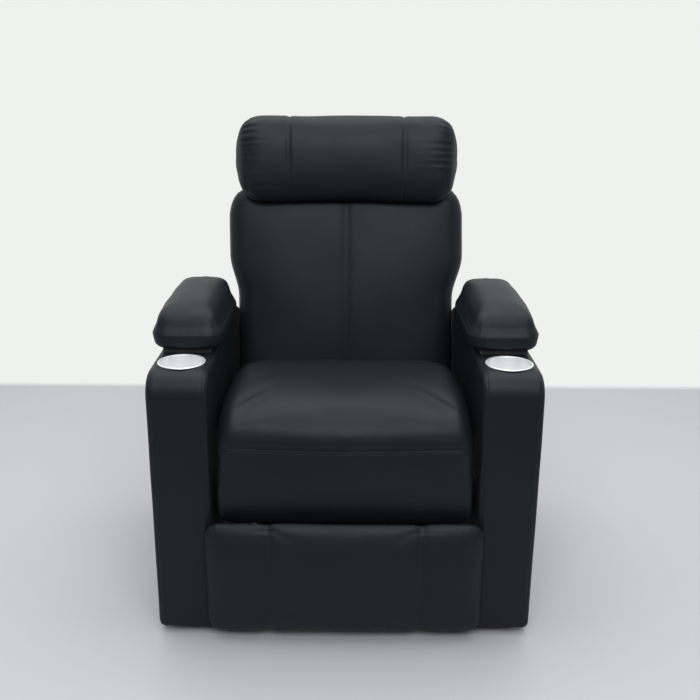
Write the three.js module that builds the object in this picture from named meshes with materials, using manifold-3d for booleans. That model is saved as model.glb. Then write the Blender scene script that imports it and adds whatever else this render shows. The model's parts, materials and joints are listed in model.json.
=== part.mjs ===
// A cinema recliner seat: two arms with a cup holder and a storage box under each pad,
// a seat that glides forward on swing links as the back reclines, and a footrest on a scissor linkage
// that a linear actuator opens. Millimetres. X is to the viewer's right, Y to the rear, Z up.
// In the names below, "back" is measured behind the arms' front faces, "up" from the floor
// and "out" from the seat's middle plane.
import * as THREE from "three";
import { mergeVertices } from "three/addons/utils/BufferGeometryUtils.js";
import Module from "manifold-3d";

const wasm = await Module();
wasm.setup();

// Fits shared by the whole seat
const fit = 0.3;
const sideRun = 1;
const overrun = 5;
const sink = 0.5;

// Arms
const seatGap = 560;
const armWidth = 126;
const armLength = 700;
const armTop = 600;
const armFrontRadius = 50;
const armRearRadius = 150;
const armEdgeRadius = 14;
const footHeight = 17.7;
const footRadius = 24;
const footToe = 21;
const footInset = 62;

// Cup holders
const cupRadius = 45;
const cupRimRadius = 50;
const cupRimThickness = 2.5;
const cupRimEdge = 1;
const cupDepth = 70;
const cupWall = 1.5;
const cupFloorRadius = 8;
const cupBack = 88;

// Storage boxes in the arms
const binBack = 165;
const binLength = 290;
const binWidth = 84;
const binDepth = 210;
const binWall = 3;

// Arm lids: a board with a pad on it, hinged at its rear end
const padBack = 135;
const padLength = 365;
const padBoxing = 33;
const padRise = 53;
const padOverhang = 7;
const padInnerExtra = 8;
const padEdgeRadius = 8;
const padCornerRadius = 36;
const padFrontRun = 140;
const padRearRun = 50;
const padSag = 8;
const padPeak = 430;
const padRearDraw = 15;
const lidBoardThickness = 10;
const lidBoardInset = 12;
const lidBoardBack = 152;
const lidBoardLength = 338;
const lidAxisBack = 508;
const lidKnuckleRadius = 4.4;
const lidPinRadius = 2;
const lidKnuckleWidth = 26;
const lidLeafThickness = 2.4;
const lidLeafHeight = 9;
const lidLeafLength = 26;

// Base frame and swing links
const railWidth = 30;
const railHeight = 30;
const railUp = 28;
const railBack = 40;
const railLength = 610;
const crossBack = 60;
const crossRearBack = 600;
const earThickness = 4;
const earRadius = 16;
const swingThickness = 5;
const swingRadius = 13;
const swingLength = 110;
const swingLean = 30;
const swingBaseUp = 75;
const swingFrontBack = 110;
const swingRearBack = 400;
const studRadius = 5;

// Seat frame
const seatPlateThickness = 5;
const seatPlateFront = 60;
const seatPlateRear = 547;
const seatFrameTop = 322;
const seatRailHeight = 30;
const seatRailWidth = 25;
const seatRailFrontBack = 62;
const seatPlateLobe = 18;
const seatPlateHoleRadius = 34;
const springWireRadius = 2.2;
const springSpacing = 130;
const springSwing = 27;
const springTieInset = 134;
const springOverhang = 4;
const springWaves = 5;
const springSteps = 30;

// Seat cushion
const seatWidth = 538;
const seatCrestUp = 534;
const seatCrestBack = 150;
const seatRearUp = 488;
const seatRearBack = 460;
const seatSeamUp = 446;
const apronBottomUp = 258;
const apronDepth = 46;
const seatEdgeRadius = 38;
const seatSideCrown = 10;
const seatSeamDepth = 3.5;
const seatSeamShare = 0.25;
const seatTopFall = 12;
const seatFrontFullness = 6;
const apronSetHigh = 2;
const apronSetMid = 10;
const apronSetLow = 22;
const apronTurn = 14;
const apronTurnEdge = 4;
const apronLowEdge = 16;
const seatSlabDepth = 400;
const seatSlabThickness = 150;

// Back
const hingeBack = 525;
const hingeUp = 300;
const backLean = 12.5;
const hingeStudRadius = 8;
const backFront = 90;
const backCrown = 9;
const backCushionLow = 45;
const backCushionHigh = 603;
const backSideGap = 7;
const backWidthWing = 592;
const backWingUp = 430;
const backShoulderUp = 530;
const backWaistUp = 345;
const backTopDraw = 14;
const backEdgeRadius = 40;
const backSeamDepth = 4;
const backFrameThickness = 30;
const backFrameWidth = 520;
const backFrameLow = 60;
const backFrameHigh = 735;
const backSlotWidth = 84;
const backSlotGap = 26;
const backSlotInset = 70;
const bracketTop = 250;
const bracketThickness = 5;
const bracketRootDrop = 6;
const strapDrop = 8;
const shellDepth = 89;
const shellWidth = 544;
const shellHigh = 745;
const shellEdgeRadius = 34;

// Headrest
const headWidth = 542;
const headFront = 150;
const headRear = 20;
const headLow = 557;
const headHigh = 772;
const headEndRadius = 54;
const headEndFall = 0.52;
const headSeamOut = 141;
const headSeamDepth = 4;
const headBoardWidth = 470;
const headLipEase = 6;
const headSeatEase = 8;
const headRearEase = 14;
const headBoardLow = 614;

// Footrest
const footrestWidth = 592;
const footrestLow = 20;
const footrestHigh = 280;
const footrestFront = 48;
const footrestRear = 2;
const footrestCrown = 9;
const footrestEdgeRadius = 30;
const footrestSeamOut = 163;
const footrestSeamDepth = 3.5;
const footBoardThickness = 13.7;
const footBoardWidth = 540;
const footBoardInset = 18;

// Footrest linkage: places when shut
const driveBack = 190;
const driveUp = 272.4;
const driveLength = 166;
const driveTail = 57;
const driveAngle = -76.5;
const reachLength = 223.3;
const reachTail = 43.4;
const reachAngle = 154.5;
const footPivotDrop = 60;
const footPivotSet = 5.8;
const linkThickness = 5;
const linkRadius = 12;
const guideRadius = 11;
const driveLobe = 14.5;
const driveTubeRadius = 11;
const journalRadius = 6.5;
const openPivotSlack = 2.4;
const footBracketRadius = 14;
const footBracketFlange = 32;
const footBracketThickness = 3;

// Actuator
const crankLength = 55;
const crankAngle = -44.8;
const crankThickness = 5;
const crankRadius = 12;
const motorBack = 482;
const motorUp = 201;
const motorEyeWidth = 26;
const motorEyeRadius = 14;
const motorLugThickness = 6;
const motorRadius = 25;
const motorLength = 92;
const gearboxStart = 19;
const gearboxLength = 62;
const gearboxHeight = 48;
const gearboxWidth = 44;
const actuatorTubeRadius = 17;
const actuatorTubeLength = 180;
const rodRadius = 9;
const rodEyeWidth = 12;
const rodNeckLength = 34;
const rodHidden = 112;

// Power supply and its lead
const supplyLength = 150;
const supplyWidth = 58;
const supplyHeight = 36;
const supplyEdge = 5;
const supplyOut = -210;
const leadRadius = 3.5;
const leadLift = 0.2;
const reliefLength = 32;
const reliefRadius = 7;
const reliefTipRadius = 4.6;
const reliefRings = 4;
const reliefGroove = 0.6;
const leadOut = -180;
const coilOut = -60;
const coilBack = 708;
const coilRadius = 52;
const coilPitch = 7.5;
const coilTurns = 6.5;
const coilLeadIn = 7;
const plugReach = 52;
const plugLength = 34;
const plugHeight = 22;
const plugWidth = 28;
const plugEdge = 4;
const plugBladeLength = 17;
const plugBladeWidth = 6.4;
const plugBladeThickness = 1.5;
const plugBladeSpacing = 12;

// Switch on the outer face of the viewer's left arm
const switchBack = 200;
const switchUp = 440;
const switchLength = 76;
const switchHeight = 40;
const switchThickness = 2.5;
const switchCorner = 12;
const switchPocketDepth = 10;
const buttonRadius = 11;
const buttonProud = 2.6;
const buttonLength = 8.4;
const buttonInset = 21;

// Facet counts
const roundSides = 12;
const smallSides = 10;
const cupSides = 22;
const arcSteps = 4;
const armArcSteps = 8;
const bevelSteps = 3;
const headRingPoints = 24;
const leadSteps = 30;
const leadSides = 8;
const coilSides = 6;
const coilStepsPerTurn = 24;

// Places that several pieces share
const armBottom = footHeight + fit;
const armIn = seatGap / 2;
const armOut = armIn + armWidth;
const armMid = armIn + armWidth / 2;
const railOut = armIn - fit;
const railIn = railOut - railWidth;
const earIn = railIn - earThickness;
const swingOut = earIn - sideRun;
const swingIn = swingOut - swingThickness;
const seatPlateOut = swingIn - sideRun;
const seatPlateIn = seatPlateOut - seatPlateThickness;
const reachOut = seatPlateIn - sideRun;
const reachIn = reachOut - linkThickness;
const driveOut = reachIn - sideRun;
const driveIn = driveOut - linkThickness;
const bracketOut = seatPlateIn - sideRun;
const bracketIn = bracketOut - bracketThickness;
const seatFrameHalf = seatPlateIn - fit;
const seatRailRearBack = motorBack - seatRailWidth / 2;
const springHalf = springWireRadius * Math.SQRT1_2;
const cushionBottomUp = seatFrameTop + 2 * springHalf + 2 * fit;
const backWidthLow = seatGap - 2 * backSideGap;
const lidBoardUp = armTop + fit;
const padUp = lidBoardUp + lidBoardThickness + fit;
const lidAxisUp = armTop + fit + lidKnuckleRadius;

const radians = THREE.MathUtils.degToRad;
const at = (back, up) => new THREE.Vector2(back, up);
const along = (start, angle, length) => at(
  start.x + length * Math.cos(radians(angle)),
  start.y + length * Math.sin(radians(angle)),
);

// Linkage pivots, shut. The drive link, the guide link behind it, the reach link and the seat make a
// parallelogram, so the reach link keeps its angle; the foot link then turns the footrest.
const drivePivot = at(driveBack, driveUp);
const crossPivot = along(drivePivot, driveAngle, driveLength);
const tailPivot = along(drivePivot, driveAngle, driveLength + driveTail);
const reachEnd = along(crossPivot, reachAngle + 180, reachTail);
const guidePivot = along(drivePivot, reachAngle + 180, reachTail);
const footPivot = along(crossPivot, reachAngle, reachLength);
const footTailPivot = at(footPivot.x + footPivotSet, footPivot.y - footPivotDrop);
const crankPivot = along(drivePivot, crankAngle, crankLength);
const motorPivot = at(motorBack, motorUp);
const swingTop = (base) => along(base, 90 - swingLean, swingLength);
const swingBases = { front: at(swingFrontBack, swingBaseUp), rear: at(swingRearBack, swingBaseUp) };

// Materials
const leather = { color: 0x16191d, roughness: 0.42, metalness: 0 };
const steel = { color: 0x2c2e31, roughness: 0.45, metalness: 0.85 };
const brushed = { color: 0xc9cdd0, roughness: 0.24, metalness: 1 };
const wood = { color: 0xb48b5a, roughness: 0.7, metalness: 0 };
const plastic = { color: 0x17181a, roughness: 0.5, metalness: 0 };
const rubber = { color: 0x0f1011, roughness: 0.75, metalness: 0 };
const spring = { color: 0x7d8084, roughness: 0.35, metalness: 0.9 };
const lining = { color: 0x1d1f22, roughness: 0.9, metalness: 0 };

// Only positions are kept, with shared vertices merged.
function bare(geometry) {
  const copy = new THREE.BufferGeometry();
  copy.setAttribute("position", geometry.getAttribute("position"));
  copy.setIndex(geometry.index);
  return mergeVertices(copy);
}

function solidOf(geometry) {
  const merged = bare(geometry);
  const vertProperties = new Float32Array(merged.getAttribute("position").array);
  const triVerts = new Uint32Array(merged.index.array);
  return new wasm.Manifold(new wasm.Mesh({ numProp: 3, vertProperties, triVerts }));
}

function geometryOf(solid) {
  const mesh = solid.getMesh();
  const geometry = new THREE.BufferGeometry();
  geometry.setAttribute("position", new THREE.BufferAttribute(mesh.vertProperties, 3));
  geometry.setIndex(new THREE.BufferAttribute(mesh.triVerts, 1));
  return geometry;
}

function join(first, ...others) {
  return geometryOf(others.reduce((sum, other) => sum.add(solidOf(other)), solidOf(first)));
}

function cut(first, ...others) {
  return geometryOf(others.reduce((rest, other) => rest.subtract(solidOf(other)), solidOf(first)));
}

// The same piece for the other side: X changes sign and the faces are turned round.
function mirrored(geometry) {
  const copy = bare(geometry);
  copy.scale(-1, 1, 1);
  const index = Array.from(copy.index.array);
  for (let i = 0; i < index.length; i += 3) {
    [index[i], index[i + 1]] = [index[i + 1], index[i]];
  }
  copy.setIndex(index);
  return copy;
}

function block(x, y, z) {
  const geometry = new THREE.BoxGeometry(x[1] - x[0], y[1] - y[0], z[1] - z[0]);
  return geometry.translate((x[0] + x[1]) / 2, (y[0] + y[1]) / 2, (z[0] + z[1]) / 2);
}

// A flat shape drawn as (back, up), given its thickness from x0 to x1.
const sideways = new THREE.Matrix4().makeBasis(
  new THREE.Vector3(0, 1, 0), new THREE.Vector3(0, 0, 1), new THREE.Vector3(1, 0, 0),
);
function plate(shape, x0, x1, bevel = 0, curveSteps = arcSteps) {
  const geometry = new THREE.ExtrudeGeometry(shape, {
    depth: x1 - x0 - 2 * bevel,
    bevelEnabled: bevel > 0,
    bevelThickness: bevel,
    bevelSize: bevel,
    bevelOffset: -bevel,
    bevelSegments: bevelSteps,
    curveSegments: curveSteps,
  });
  return geometry.applyMatrix4(sideways).translate(x0 + bevel, 0, 0);
}

function capsule(from, to, radius) {
  const heading = Math.atan2(to.y - from.y, to.x - from.x);
  const shape = new THREE.Shape();
  shape.absarc(to.x, to.y, radius, heading - Math.PI / 2, heading + Math.PI / 2, false);
  shape.absarc(from.x, from.y, radius, heading + Math.PI / 2, heading + 3 * Math.PI / 2, false);
  return shape;
}

function polygon(points) {
  return new THREE.Shape(points.map(([back, up]) => at(back, up)));
}

// A round bar along X through a pivot.
function bar(pivot, radius, x0, x1, sides = smallSides) {
  const geometry = new THREE.CylinderGeometry(radius, radius, x1 - x0, sides);
  return geometry.rotateZ(Math.PI / 2).translate((x0 + x1) / 2, pivot.x, pivot.y);
}

// A round hole for a stud of that radius: its flats keep the fit clear of the stud as it turns.
function bore(pivot, radius, x0, x1, sides = smallSides) {
  return bar(pivot, (radius + fit) / Math.cos(Math.PI / sides), x0 - overrun, x1 + overrun, sides);
}

function roundedRectangle(width, height, radius) {
  const shape = new THREE.Shape();
  const x = width / 2 - radius;
  const y = height / 2 - radius;
  shape.absarc(x, y, radius, 0, Math.PI / 2, false);
  shape.absarc(-x, y, radius, Math.PI / 2, Math.PI, false);
  shape.absarc(-x, -y, radius, Math.PI, 3 * Math.PI / 2, false);
  shape.absarc(x, -y, radius, 3 * Math.PI / 2, 2 * Math.PI, false);
  return shape;
}

// Grid lines from -1 to 1, closer near the ends, with three lines at each seam.
const seamLineShare = 0.012;
const seamClearShare = 0.04;
function gridLines(count, seamShares = []) {
  const even = Array.from({ length: count + 1 }, (_, i) => Math.sin((i / count - 0.5) * Math.PI));
  const clear = even.filter((line) => seamShares.every((seam) => Math.abs(line - seam) > seamClearShare));
  const seams = seamShares.flatMap((seam) => [seam - seamLineShare, seam, seam + seamLineShare]);
  return [...clear, ...seams].sort((a, b) => a - b);
}

// A padded block: a box with rounded edges whose points a warp then moves.
// The warp gets each point, and its place in the box as shares from -1 to 1.
function padded(size, radii, lines, warp) {
  const counts = lines.map((list) => list.length - 1);
  const geometry = bare(new THREE.BoxGeometry(2, 2, 2, ...counts));
  const position = geometry.getAttribute("position");
  for (let i = 0; i < position.count; i += 1) {
    const raw = [position.getX(i), position.getY(i), position.getZ(i)];
    const share = raw.map((value, axis) => lines[axis][Math.round((value + 1) / 2 * counts[axis])]);
    const place = share.map((value, axis) => value * size[axis] / 2);
    const core = place.map((value, axis) => {
      const reach = size[axis] / 2 - radii[axis];
      return Math.min(reach, Math.max(-reach, value));
    });
    const rim = place.map((value, axis) => (value - core[axis]) / radii[axis]);
    const distance = Math.hypot(...rim) || 1;
    const rounded = core.map((value, axis) => value + rim[axis] / distance * radii[axis]);
    const [x, y, z] = warp(rounded, share);
    position.setXYZ(i, x, y, z);
  }
  return facingOut(geometry);
}

const smooth = (value) => THREE.MathUtils.smoothstep(value, 0, 1);
const hump = (share) => 1 - share * share;
const groove = (share, seam) => Math.max(0, 1 - Math.abs(share - seam) / seamLineShare);

// The seat's group is set so that the origin is under the middle of the whole seat.
const chair = new THREE.Group();
const backGroup = new THREE.Group();
backGroup.position.set(0, hingeBack, hingeUp);
backGroup.rotation.x = -radians(backLean);
chair.add(backGroup);

function add(name, geometry, finish, parent = chair) {
  const solid = bare(geometry);
  solid.computeVertexNormals();
  const mesh = new THREE.Mesh(solid, new THREE.MeshStandardMaterial({ ...finish, flatShading: true }));
  mesh.name = name;
  parent.add(mesh);
  return mesh;
}

function addPair(name, geometry, finish, parent = chair) {
  add(`${name}_left`, mirrored(geometry), finish, parent);
  add(`${name}_right`, geometry, finish, parent);
}

// Arms
function armShape() {
  const shape = new THREE.Shape();
  shape.moveTo(0, armBottom);
  shape.lineTo(armLength, armBottom);
  shape.absarc(armLength - armRearRadius, armTop - armRearRadius, armRearRadius, 0, Math.PI / 2, false);
  shape.absarc(armFrontRadius, armTop - armFrontRadius, armFrontRadius, Math.PI / 2, Math.PI, false);
  return shape;
}

function armCover() {
  const body = plate(armShape(), armIn, armOut, armEdgeRadius, armArcSteps);
  const holeRadius = (cupRadius + fit) / Math.cos(Math.PI / cupSides);
  const cupHole = new THREE.CylinderGeometry(holeRadius, holeRadius, cupDepth + overrun, cupSides);
  cupHole.rotateX(Math.PI / 2).translate(armMid, cupBack, armTop + (overrun - cupDepth) / 2 - fit);
  const half = binWidth / 2 + fit;
  const binHole = block(
    [armMid - half, armMid + half],
    [binBack - fit, binBack + binLength + fit],
    [armTop - binDepth - fit, armTop + overrun],
  );
  return cut(body, cupHole, binHole);
}

function switchPocket() {
  const inset = switchCorner / 2;
  return block(
    [-armOut - overrun, -armOut + switchPocketDepth],
    [switchBack + inset, switchBack + switchLength - inset],
    [switchUp + inset, switchUp + switchHeight - inset],
  );
}

add("arm_cover_left", cut(mirrored(armCover()), switchPocket()), leather);
add("arm_cover_right", armCover(), leather);

function storageBin() {
  const half = binWidth / 2;
  const top = armTop - fit;
  const outer = block(
    [armMid - half, armMid + half], [binBack, binBack + binLength], [armTop - binDepth, top],
  );
  const inner = block(
    [armMid - half + binWall, armMid + half - binWall],
    [binBack + binWall, binBack + binLength - binWall],
    [armTop - binDepth + binWall, top + overrun],
  );
  return cut(outer, inner);
}
addPair("storage_bin", storageBin(), lining);

function cupHolder() {
  const inner = cupRadius - cupWall;
  const profile = [
    [0, -cupDepth],
    [cupRadius - cupFloorRadius, -cupDepth],
    [cupRadius, -cupDepth + cupFloorRadius],
    [cupRadius, fit],
    [cupRimRadius - cupRimEdge, fit],
    [cupRimRadius, fit + cupRimEdge],
    [cupRimRadius - cupRimEdge, fit + cupRimThickness],
    [inner, fit + cupRimThickness - cupRimEdge],
    [inner, -cupDepth + cupFloorRadius],
    [inner - cupFloorRadius, -cupDepth + cupWall],
    [0, -cupDepth + cupWall],
  ].map(([radius, height]) => at(radius, height));
  const geometry = new THREE.LatheGeometry(profile, cupSides);
  return geometry.rotateX(Math.PI / 2).translate(armMid, cupBack, armTop);
}
addPair("cup_holder", cupHolder(), brushed);

const footPlaces = { front: footInset, rear: armLength - footInset };
for (const [place, back] of Object.entries(footPlaces)) {
  const foot = new THREE.CylinderGeometry(footRadius, footToe, footHeight, roundSides);
  addPair(`foot_${place}`, foot.rotateX(Math.PI / 2).translate(armMid, back, footHeight / 2), plastic);
}

// Arm lids
const lidBoard = block(
  [armIn + lidBoardInset, armOut - lidBoardInset],
  [lidBoardBack, lidBoardBack + lidBoardLength],
  [lidBoardUp, lidBoardUp + lidBoardThickness],
);
addPair("lid_board", lidBoard, wood);

// The pad: a straight boxing with a domed top above its seam
function lidPad() {
  const size = [armWidth + 2 * padOverhang, padLength, padBoxing];
  const radii = [padCornerRadius, padCornerRadius, padEdgeRadius];
  const lines = [gridLines(8), gridLines(12), gridLines(3)];
  const swell = (fromEnd, run) => Math.sqrt(hump(1 - Math.min(1, fromEnd / run)));
  return padded(size, radii, lines, ([x, y, z], [xShare, yShare, zShare]) => {
    const fromFront = (yShare + 1) / 2 * padLength;
    const ends = swell(fromFront, padFrontRun) * swell(padLength - fromFront, padRearRun);
    const sag = padSag * ((fromFront + padBack - padPeak) / (padLength / 2)) ** 2;
    const dome = Math.max(0, zShare) * hump(xShare) * ends * (padRise - sag);
    const rear = smooth((yShare - 0.5) * 2);
    const inner = Math.max(0, -x) / (size[0] / 2) * (rear * padRearDraw - padInnerExtra);
    return [armMid + x + inner, padBack + padLength / 2 + y, padUp + padBoxing / 2 + z + dome];
  });
}
addPair("lid_pad", lidPad(), leather);

// The fixed leaf lies on the arm and carries the pin; the moving leaf is screwed to the board's rear edge.
function lidHinge(moving) {
  const axis = at(lidAxisBack, lidAxisUp);
  const half = lidKnuckleWidth / 2;
  const leafBack = lidBoardBack + lidBoardLength + fit;
  if (moving) {
    const leaf = block(
      [armMid - lidKnuckleWidth * 1.5, armMid + lidKnuckleWidth * 1.5],
      [leafBack, leafBack + lidLeafThickness],
      [lidBoardUp, lidBoardUp + lidLeafHeight],
    );
    const tabs = [-1, 1].flatMap((side) => {
      const x = [armMid + side * (half + fit), armMid + side * lidKnuckleWidth * 1.5].sort((a, b) => a - b);
      const web = block(
        x,
        [leafBack + sink, lidAxisBack],
        [lidAxisUp - lidLeafThickness / 2, lidAxisUp + lidLeafThickness / 2],
      );
      return [web, bar(axis, lidKnuckleRadius, x[0], x[1])];
    });
    return cut(join(leaf, ...tabs), bore(axis, lidPinRadius, armMid - armWidth, armMid + armWidth));
  }
  const leaf = block(
    [armMid - half, armMid + half],
    [lidAxisBack, lidAxisBack + lidLeafLength],
    [armTop + fit, armTop + fit + lidLeafThickness],
  );
  const knuckle = bar(axis, lidKnuckleRadius, armMid - half, armMid + half);
  const pin = bar(axis, lidPinRadius, armMid - lidKnuckleWidth * 1.5, armMid + lidKnuckleWidth * 1.5);
  return join(leaf, knuckle, pin);
}
addPair("lid_hinge_fixed", lidHinge(false), spring);
addPair("lid_hinge_moving", lidHinge(true), spring);

// Base frame: two rails bolted to the arms' inner faces, two cross tubes and four ears
function baseFrame() {
  const z = [railUp, railUp + railHeight];
  const rails = [-1, 1].map((side) => block(
    [Math.min(side * railIn, side * railOut), Math.max(side * railIn, side * railOut)],
    [railBack, railBack + railLength], z,
  ));
  const crosses = [crossBack, crossRearBack].map((back) => block(
    [-railIn - sink, railIn + sink], [back, back + railWidth], z,
  ));
  const ears = Object.values(swingBases).map((base) => {
    const shape = capsule(at(base.x, railUp + earRadius), base, earRadius);
    const ear = plate(shape, earIn, railIn + sink);
    return cut(ear, bore(base, studRadius, earIn, railOut));
  });
  return join(rails[0], rails[1], ...crosses, ...ears, ...ears.map(mirrored));
}
add("base_frame", baseFrame(), steel);

for (const [place, base] of Object.entries(swingBases)) {
  const top = swingTop(base);
  const link = join(
    plate(capsule(base, top, swingRadius), swingIn, swingOut),
    bar(base, studRadius, swingOut - sink, railIn),
    bar(top, studRadius, seatPlateIn, swingIn + sink),
  );
  addPair(`swing_link_${place}`, link, steel);
}

// Seat frame
function seatPlate() {
  const tops = { front: swingTop(swingBases.front), rear: swingTop(swingBases.rear) };
  const low = tops.rear.y - seatPlateLobe;
  const outline = polygon([
    [seatPlateFront, seatFrameTop - seatRailHeight + fit],
    [tops.front.x - seatPlateLobe, low],
    [tops.rear.x + seatPlateLobe, low],
    [seatPlateRear, hingeUp - seatPlateLobe],
    [seatPlateRear, seatFrameTop],
    [seatPlateFront, seatFrameTop],
  ]);
  const holeSpan = tops.rear.x - guidePivot.x;
  const holeUp = (tops.rear.y + seatFrameTop) / 2;
  const holes = [0.35, 0.68].map((share) => bar(
    at(guidePivot.x + share * holeSpan, holeUp), seatPlateHoleRadius,
    seatPlateIn - overrun, seatPlateOut + overrun, roundSides,
  ));
  const bores = [
    [tops.front, studRadius], [tops.rear, studRadius], [at(hingeBack, hingeUp), hingeStudRadius],
    [drivePivot, journalRadius], [guidePivot, studRadius],
  ].map(([pivot, radius]) => bore(pivot, radius, seatPlateIn, seatPlateOut));
  return cut(plate(outline, seatPlateIn, seatPlateOut), ...holes, ...bores);
}
addPair("seat_plate", seatPlate(), steel);

const seatRailZ = [seatFrameTop - seatRailHeight, seatFrameTop];
const frontRail = block(
  [-seatFrameHalf, seatFrameHalf], [seatRailFrontBack, seatRailFrontBack + seatRailWidth], seatRailZ,
);
add("seat_rail_front", frontRail, steel);

function rearRail() {
  const rail = block(
    [-seatFrameHalf, seatFrameHalf], [seatRailRearBack, seatRailRearBack + seatRailWidth], seatRailZ,
  );
  const lugIn = motorEyeWidth / 2 + fit;
  const lugTop = at(motorPivot.x, seatFrameTop - seatRailHeight);
  const lugs = [-1, 1].map((side) => {
    const x = [side * lugIn, side * (lugIn + motorLugThickness)].sort((a, b) => a - b);
    const lug = plate(capsule(lugTop, motorPivot, seatRailWidth / 2 - sink), x[0], x[1]);
    return cut(lug, bore(motorPivot, studRadius, x[0], x[1]));
  });
  return join(rail, ...lugs);
}
add("seat_rail_rear", rearRail(), steel);

// Sinuous springs across the rails, tied by two cross wires
const springShape = (radius, sides) => {
  const points = Array.from({ length: sides }, (_, i) => {
    const angle = (i + 0.5) / sides * 2 * Math.PI;
    return at(radius * Math.cos(angle), radius * Math.sin(angle));
  });
  return new THREE.Shape(points);
};

class Sinuous extends THREE.Curve {
  constructor(out, start, end, up) {
    super();
    Object.assign(this, { out, start, end, up });
  }

  getPoint(share, target = new THREE.Vector3()) {
    const x = this.out + springSwing * Math.sin(share * springWaves * 2 * Math.PI);
    return target.set(x, this.start + share * (this.end - this.start), this.up);
  }
}

function seatSprings() {
  const up = seatFrameTop + fit + springHalf;
  const start = seatRailFrontBack + springOverhang;
  const end = seatRailRearBack + seatRailWidth - springOverhang;
  const wires = [-1, 0, 1].map((side) => new THREE.ExtrudeGeometry(springShape(springWireRadius, 4), {
    steps: springSteps, bevelEnabled: false, extrudePath: new Sinuous(side * springSpacing, start, end, up),
  }));
  const reach = springSpacing + springSwing;
  const ties = [start + springTieInset, end - springTieInset].map((back) => bar(
    at(back, up), springHalf, -reach, reach, 4,
  ));
  return join(wires[0], wires[1], wires[2], ...ties);
}
add("seat_springs", seatSprings(), spring);

// Seat cushion: a crowned slab that rolls over the front into an apron
const backFrontAt = (up) => {
  const lean = radians(backLean);
  return hingeBack - (backFront + backCrown) / Math.cos(lean) + (up - hingeUp) * Math.tan(lean);
};

function seatCushion() {
  const rearLow = backFrontAt(cushionBottomUp) - fit;
  const outer = [
    [seatRearBack, seatRearUp], [2.1 * seatCrestBack, seatCrestUp - seatTopFall],
    [seatCrestBack, seatCrestUp], [0.42 * seatCrestBack, seatCrestUp - seatTopFall],
    [0.1 * seatCrestBack, (seatCrestUp + seatSeamUp) / 2 + seatFrontFullness],
    [0, seatSeamUp], [apronSetHigh, 0.6 * seatSeamUp + 0.4 * apronBottomUp],
    [apronSetMid, 0.25 * seatSeamUp + 0.75 * apronBottomUp], [apronSetLow, apronBottomUp],
  ];
  const inner = [
    [rearLow, cushionBottomUp], [2.1 * seatCrestBack, cushionBottomUp], [seatCrestBack, cushionBottomUp],
    [seatPlateFront + apronTurn, cushionBottomUp], [apronDepth + apronSetMid, cushionBottomUp],
    [apronDepth + apronTurnEdge, cushionBottomUp - apronTurnEdge], [apronDepth, cushionBottomUp - apronTurn],
    [apronDepth, apronBottomUp + apronLowEdge], [apronDepth - apronSetHigh, apronBottomUp],
  ];
  const curves = [inner, outer].map((points) => new THREE.CatmullRomCurve3(
    points.map(([back, up]) => new THREE.Vector3(0, back, up)), false, "catmullrom", 0.5,
  ));
  const size = [seatWidth, seatSlabDepth, seatSlabThickness];
  const lines = [gridLines(12), gridLines(14, [seatSeamShare]), gridLines(4)];
  const radii = [seatEdgeRadius, seatEdgeRadius * 0.6, seatEdgeRadius];
  return padded(size, radii, lines, ([x, y, z], [xShare, yShare, zShare]) => {
    const run = y / seatSlabDepth + 0.5;
    const rise = z / seatSlabThickness + 0.5;
    const low = curves[0].getPoint(Math.min(1, Math.max(0, run)));
    const high = curves[1].getPoint(Math.min(1, Math.max(0, run)));
    const point = low.lerp(high, rise);
    const onTop = Math.max(0, zShare);
    const sideDrop = onTop * seatSideCrown * (1 - hump(xShare)) * smooth((1 - run) * 2);
    const seam = onTop * seatSeamDepth * groove(yShare, seatSeamShare);
    return [x, point.y + seam, point.z - sideDrop];
  });
}
add("seat_cushion", seatCushion(), leather);

// Back: all of it stands in a group whose origin is the recline hinge and whose Z leans to the rear
function backCushion() {
  const height = backCushionHigh - backCushionLow;
  const middle = (backCushionHigh + backCushionLow) / 2;
  const size = [backWidthLow, backFront, height];
  const lines = [gridLines(10, [0]), gridLines(4), gridLines(12)];
  const radii = [backEdgeRadius, backEdgeRadius, backEdgeRadius];
  return padded(size, radii, lines, ([x, y, z], [xShare, yShare, zShare]) => {
    const up = middle + z;
    const wing = smooth((up - backWaistUp) / (backWingUp - backWaistUp));
    const top = smooth((up - backShoulderUp) / (backCushionHigh - backShoulderUp));
    const half = backWidthLow / 2 + wing * (backWidthWing - backWidthLow) / 2 - top * backTopDraw;
    const front = Math.max(0, -yShare);
    const crown = front * backCrown * hump(xShare) * hump(zShare);
    const seam = front * backSeamDepth * groove(xShare, 0) * (zShare < 0.85 ? 1 : 0);
    return [x * half / (backWidthLow / 2), -backFront / 2 + y - crown + seam, up];
  });
}
add("back_cushion", backCushion(), leather, backGroup);

function backFrame() {
  const half = backFrameWidth / 2;
  const y = [fit, fit + backFrameThickness];
  const panel = block([-half, half], y, [backFrameLow, backFrameHigh]);
  const notchIn = bracketIn - fit;
  const notches = [-1, 1].map((side) => block(
    [side * notchIn, side * (half + overrun)].sort((a, b) => a - b),
    [y[0] - overrun, y[1] + overrun],
    [backFrameLow - overrun, bracketTop + fit],
  ));
  const pitch = backSlotWidth + backSlotGap;
  const slots = [-1.5, -0.5, 0.5, 1.5].map((step) => block(
    [step * pitch - backSlotWidth / 2, step * pitch + backSlotWidth / 2],
    [y[0] - overrun, y[1] + overrun],
    [backFrameLow + backSlotInset, backFrameHigh - backSlotInset],
  ));
  return cut(panel, ...notches, ...slots);
}
add("back_frame", backFrame(), wood, backGroup);

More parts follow.
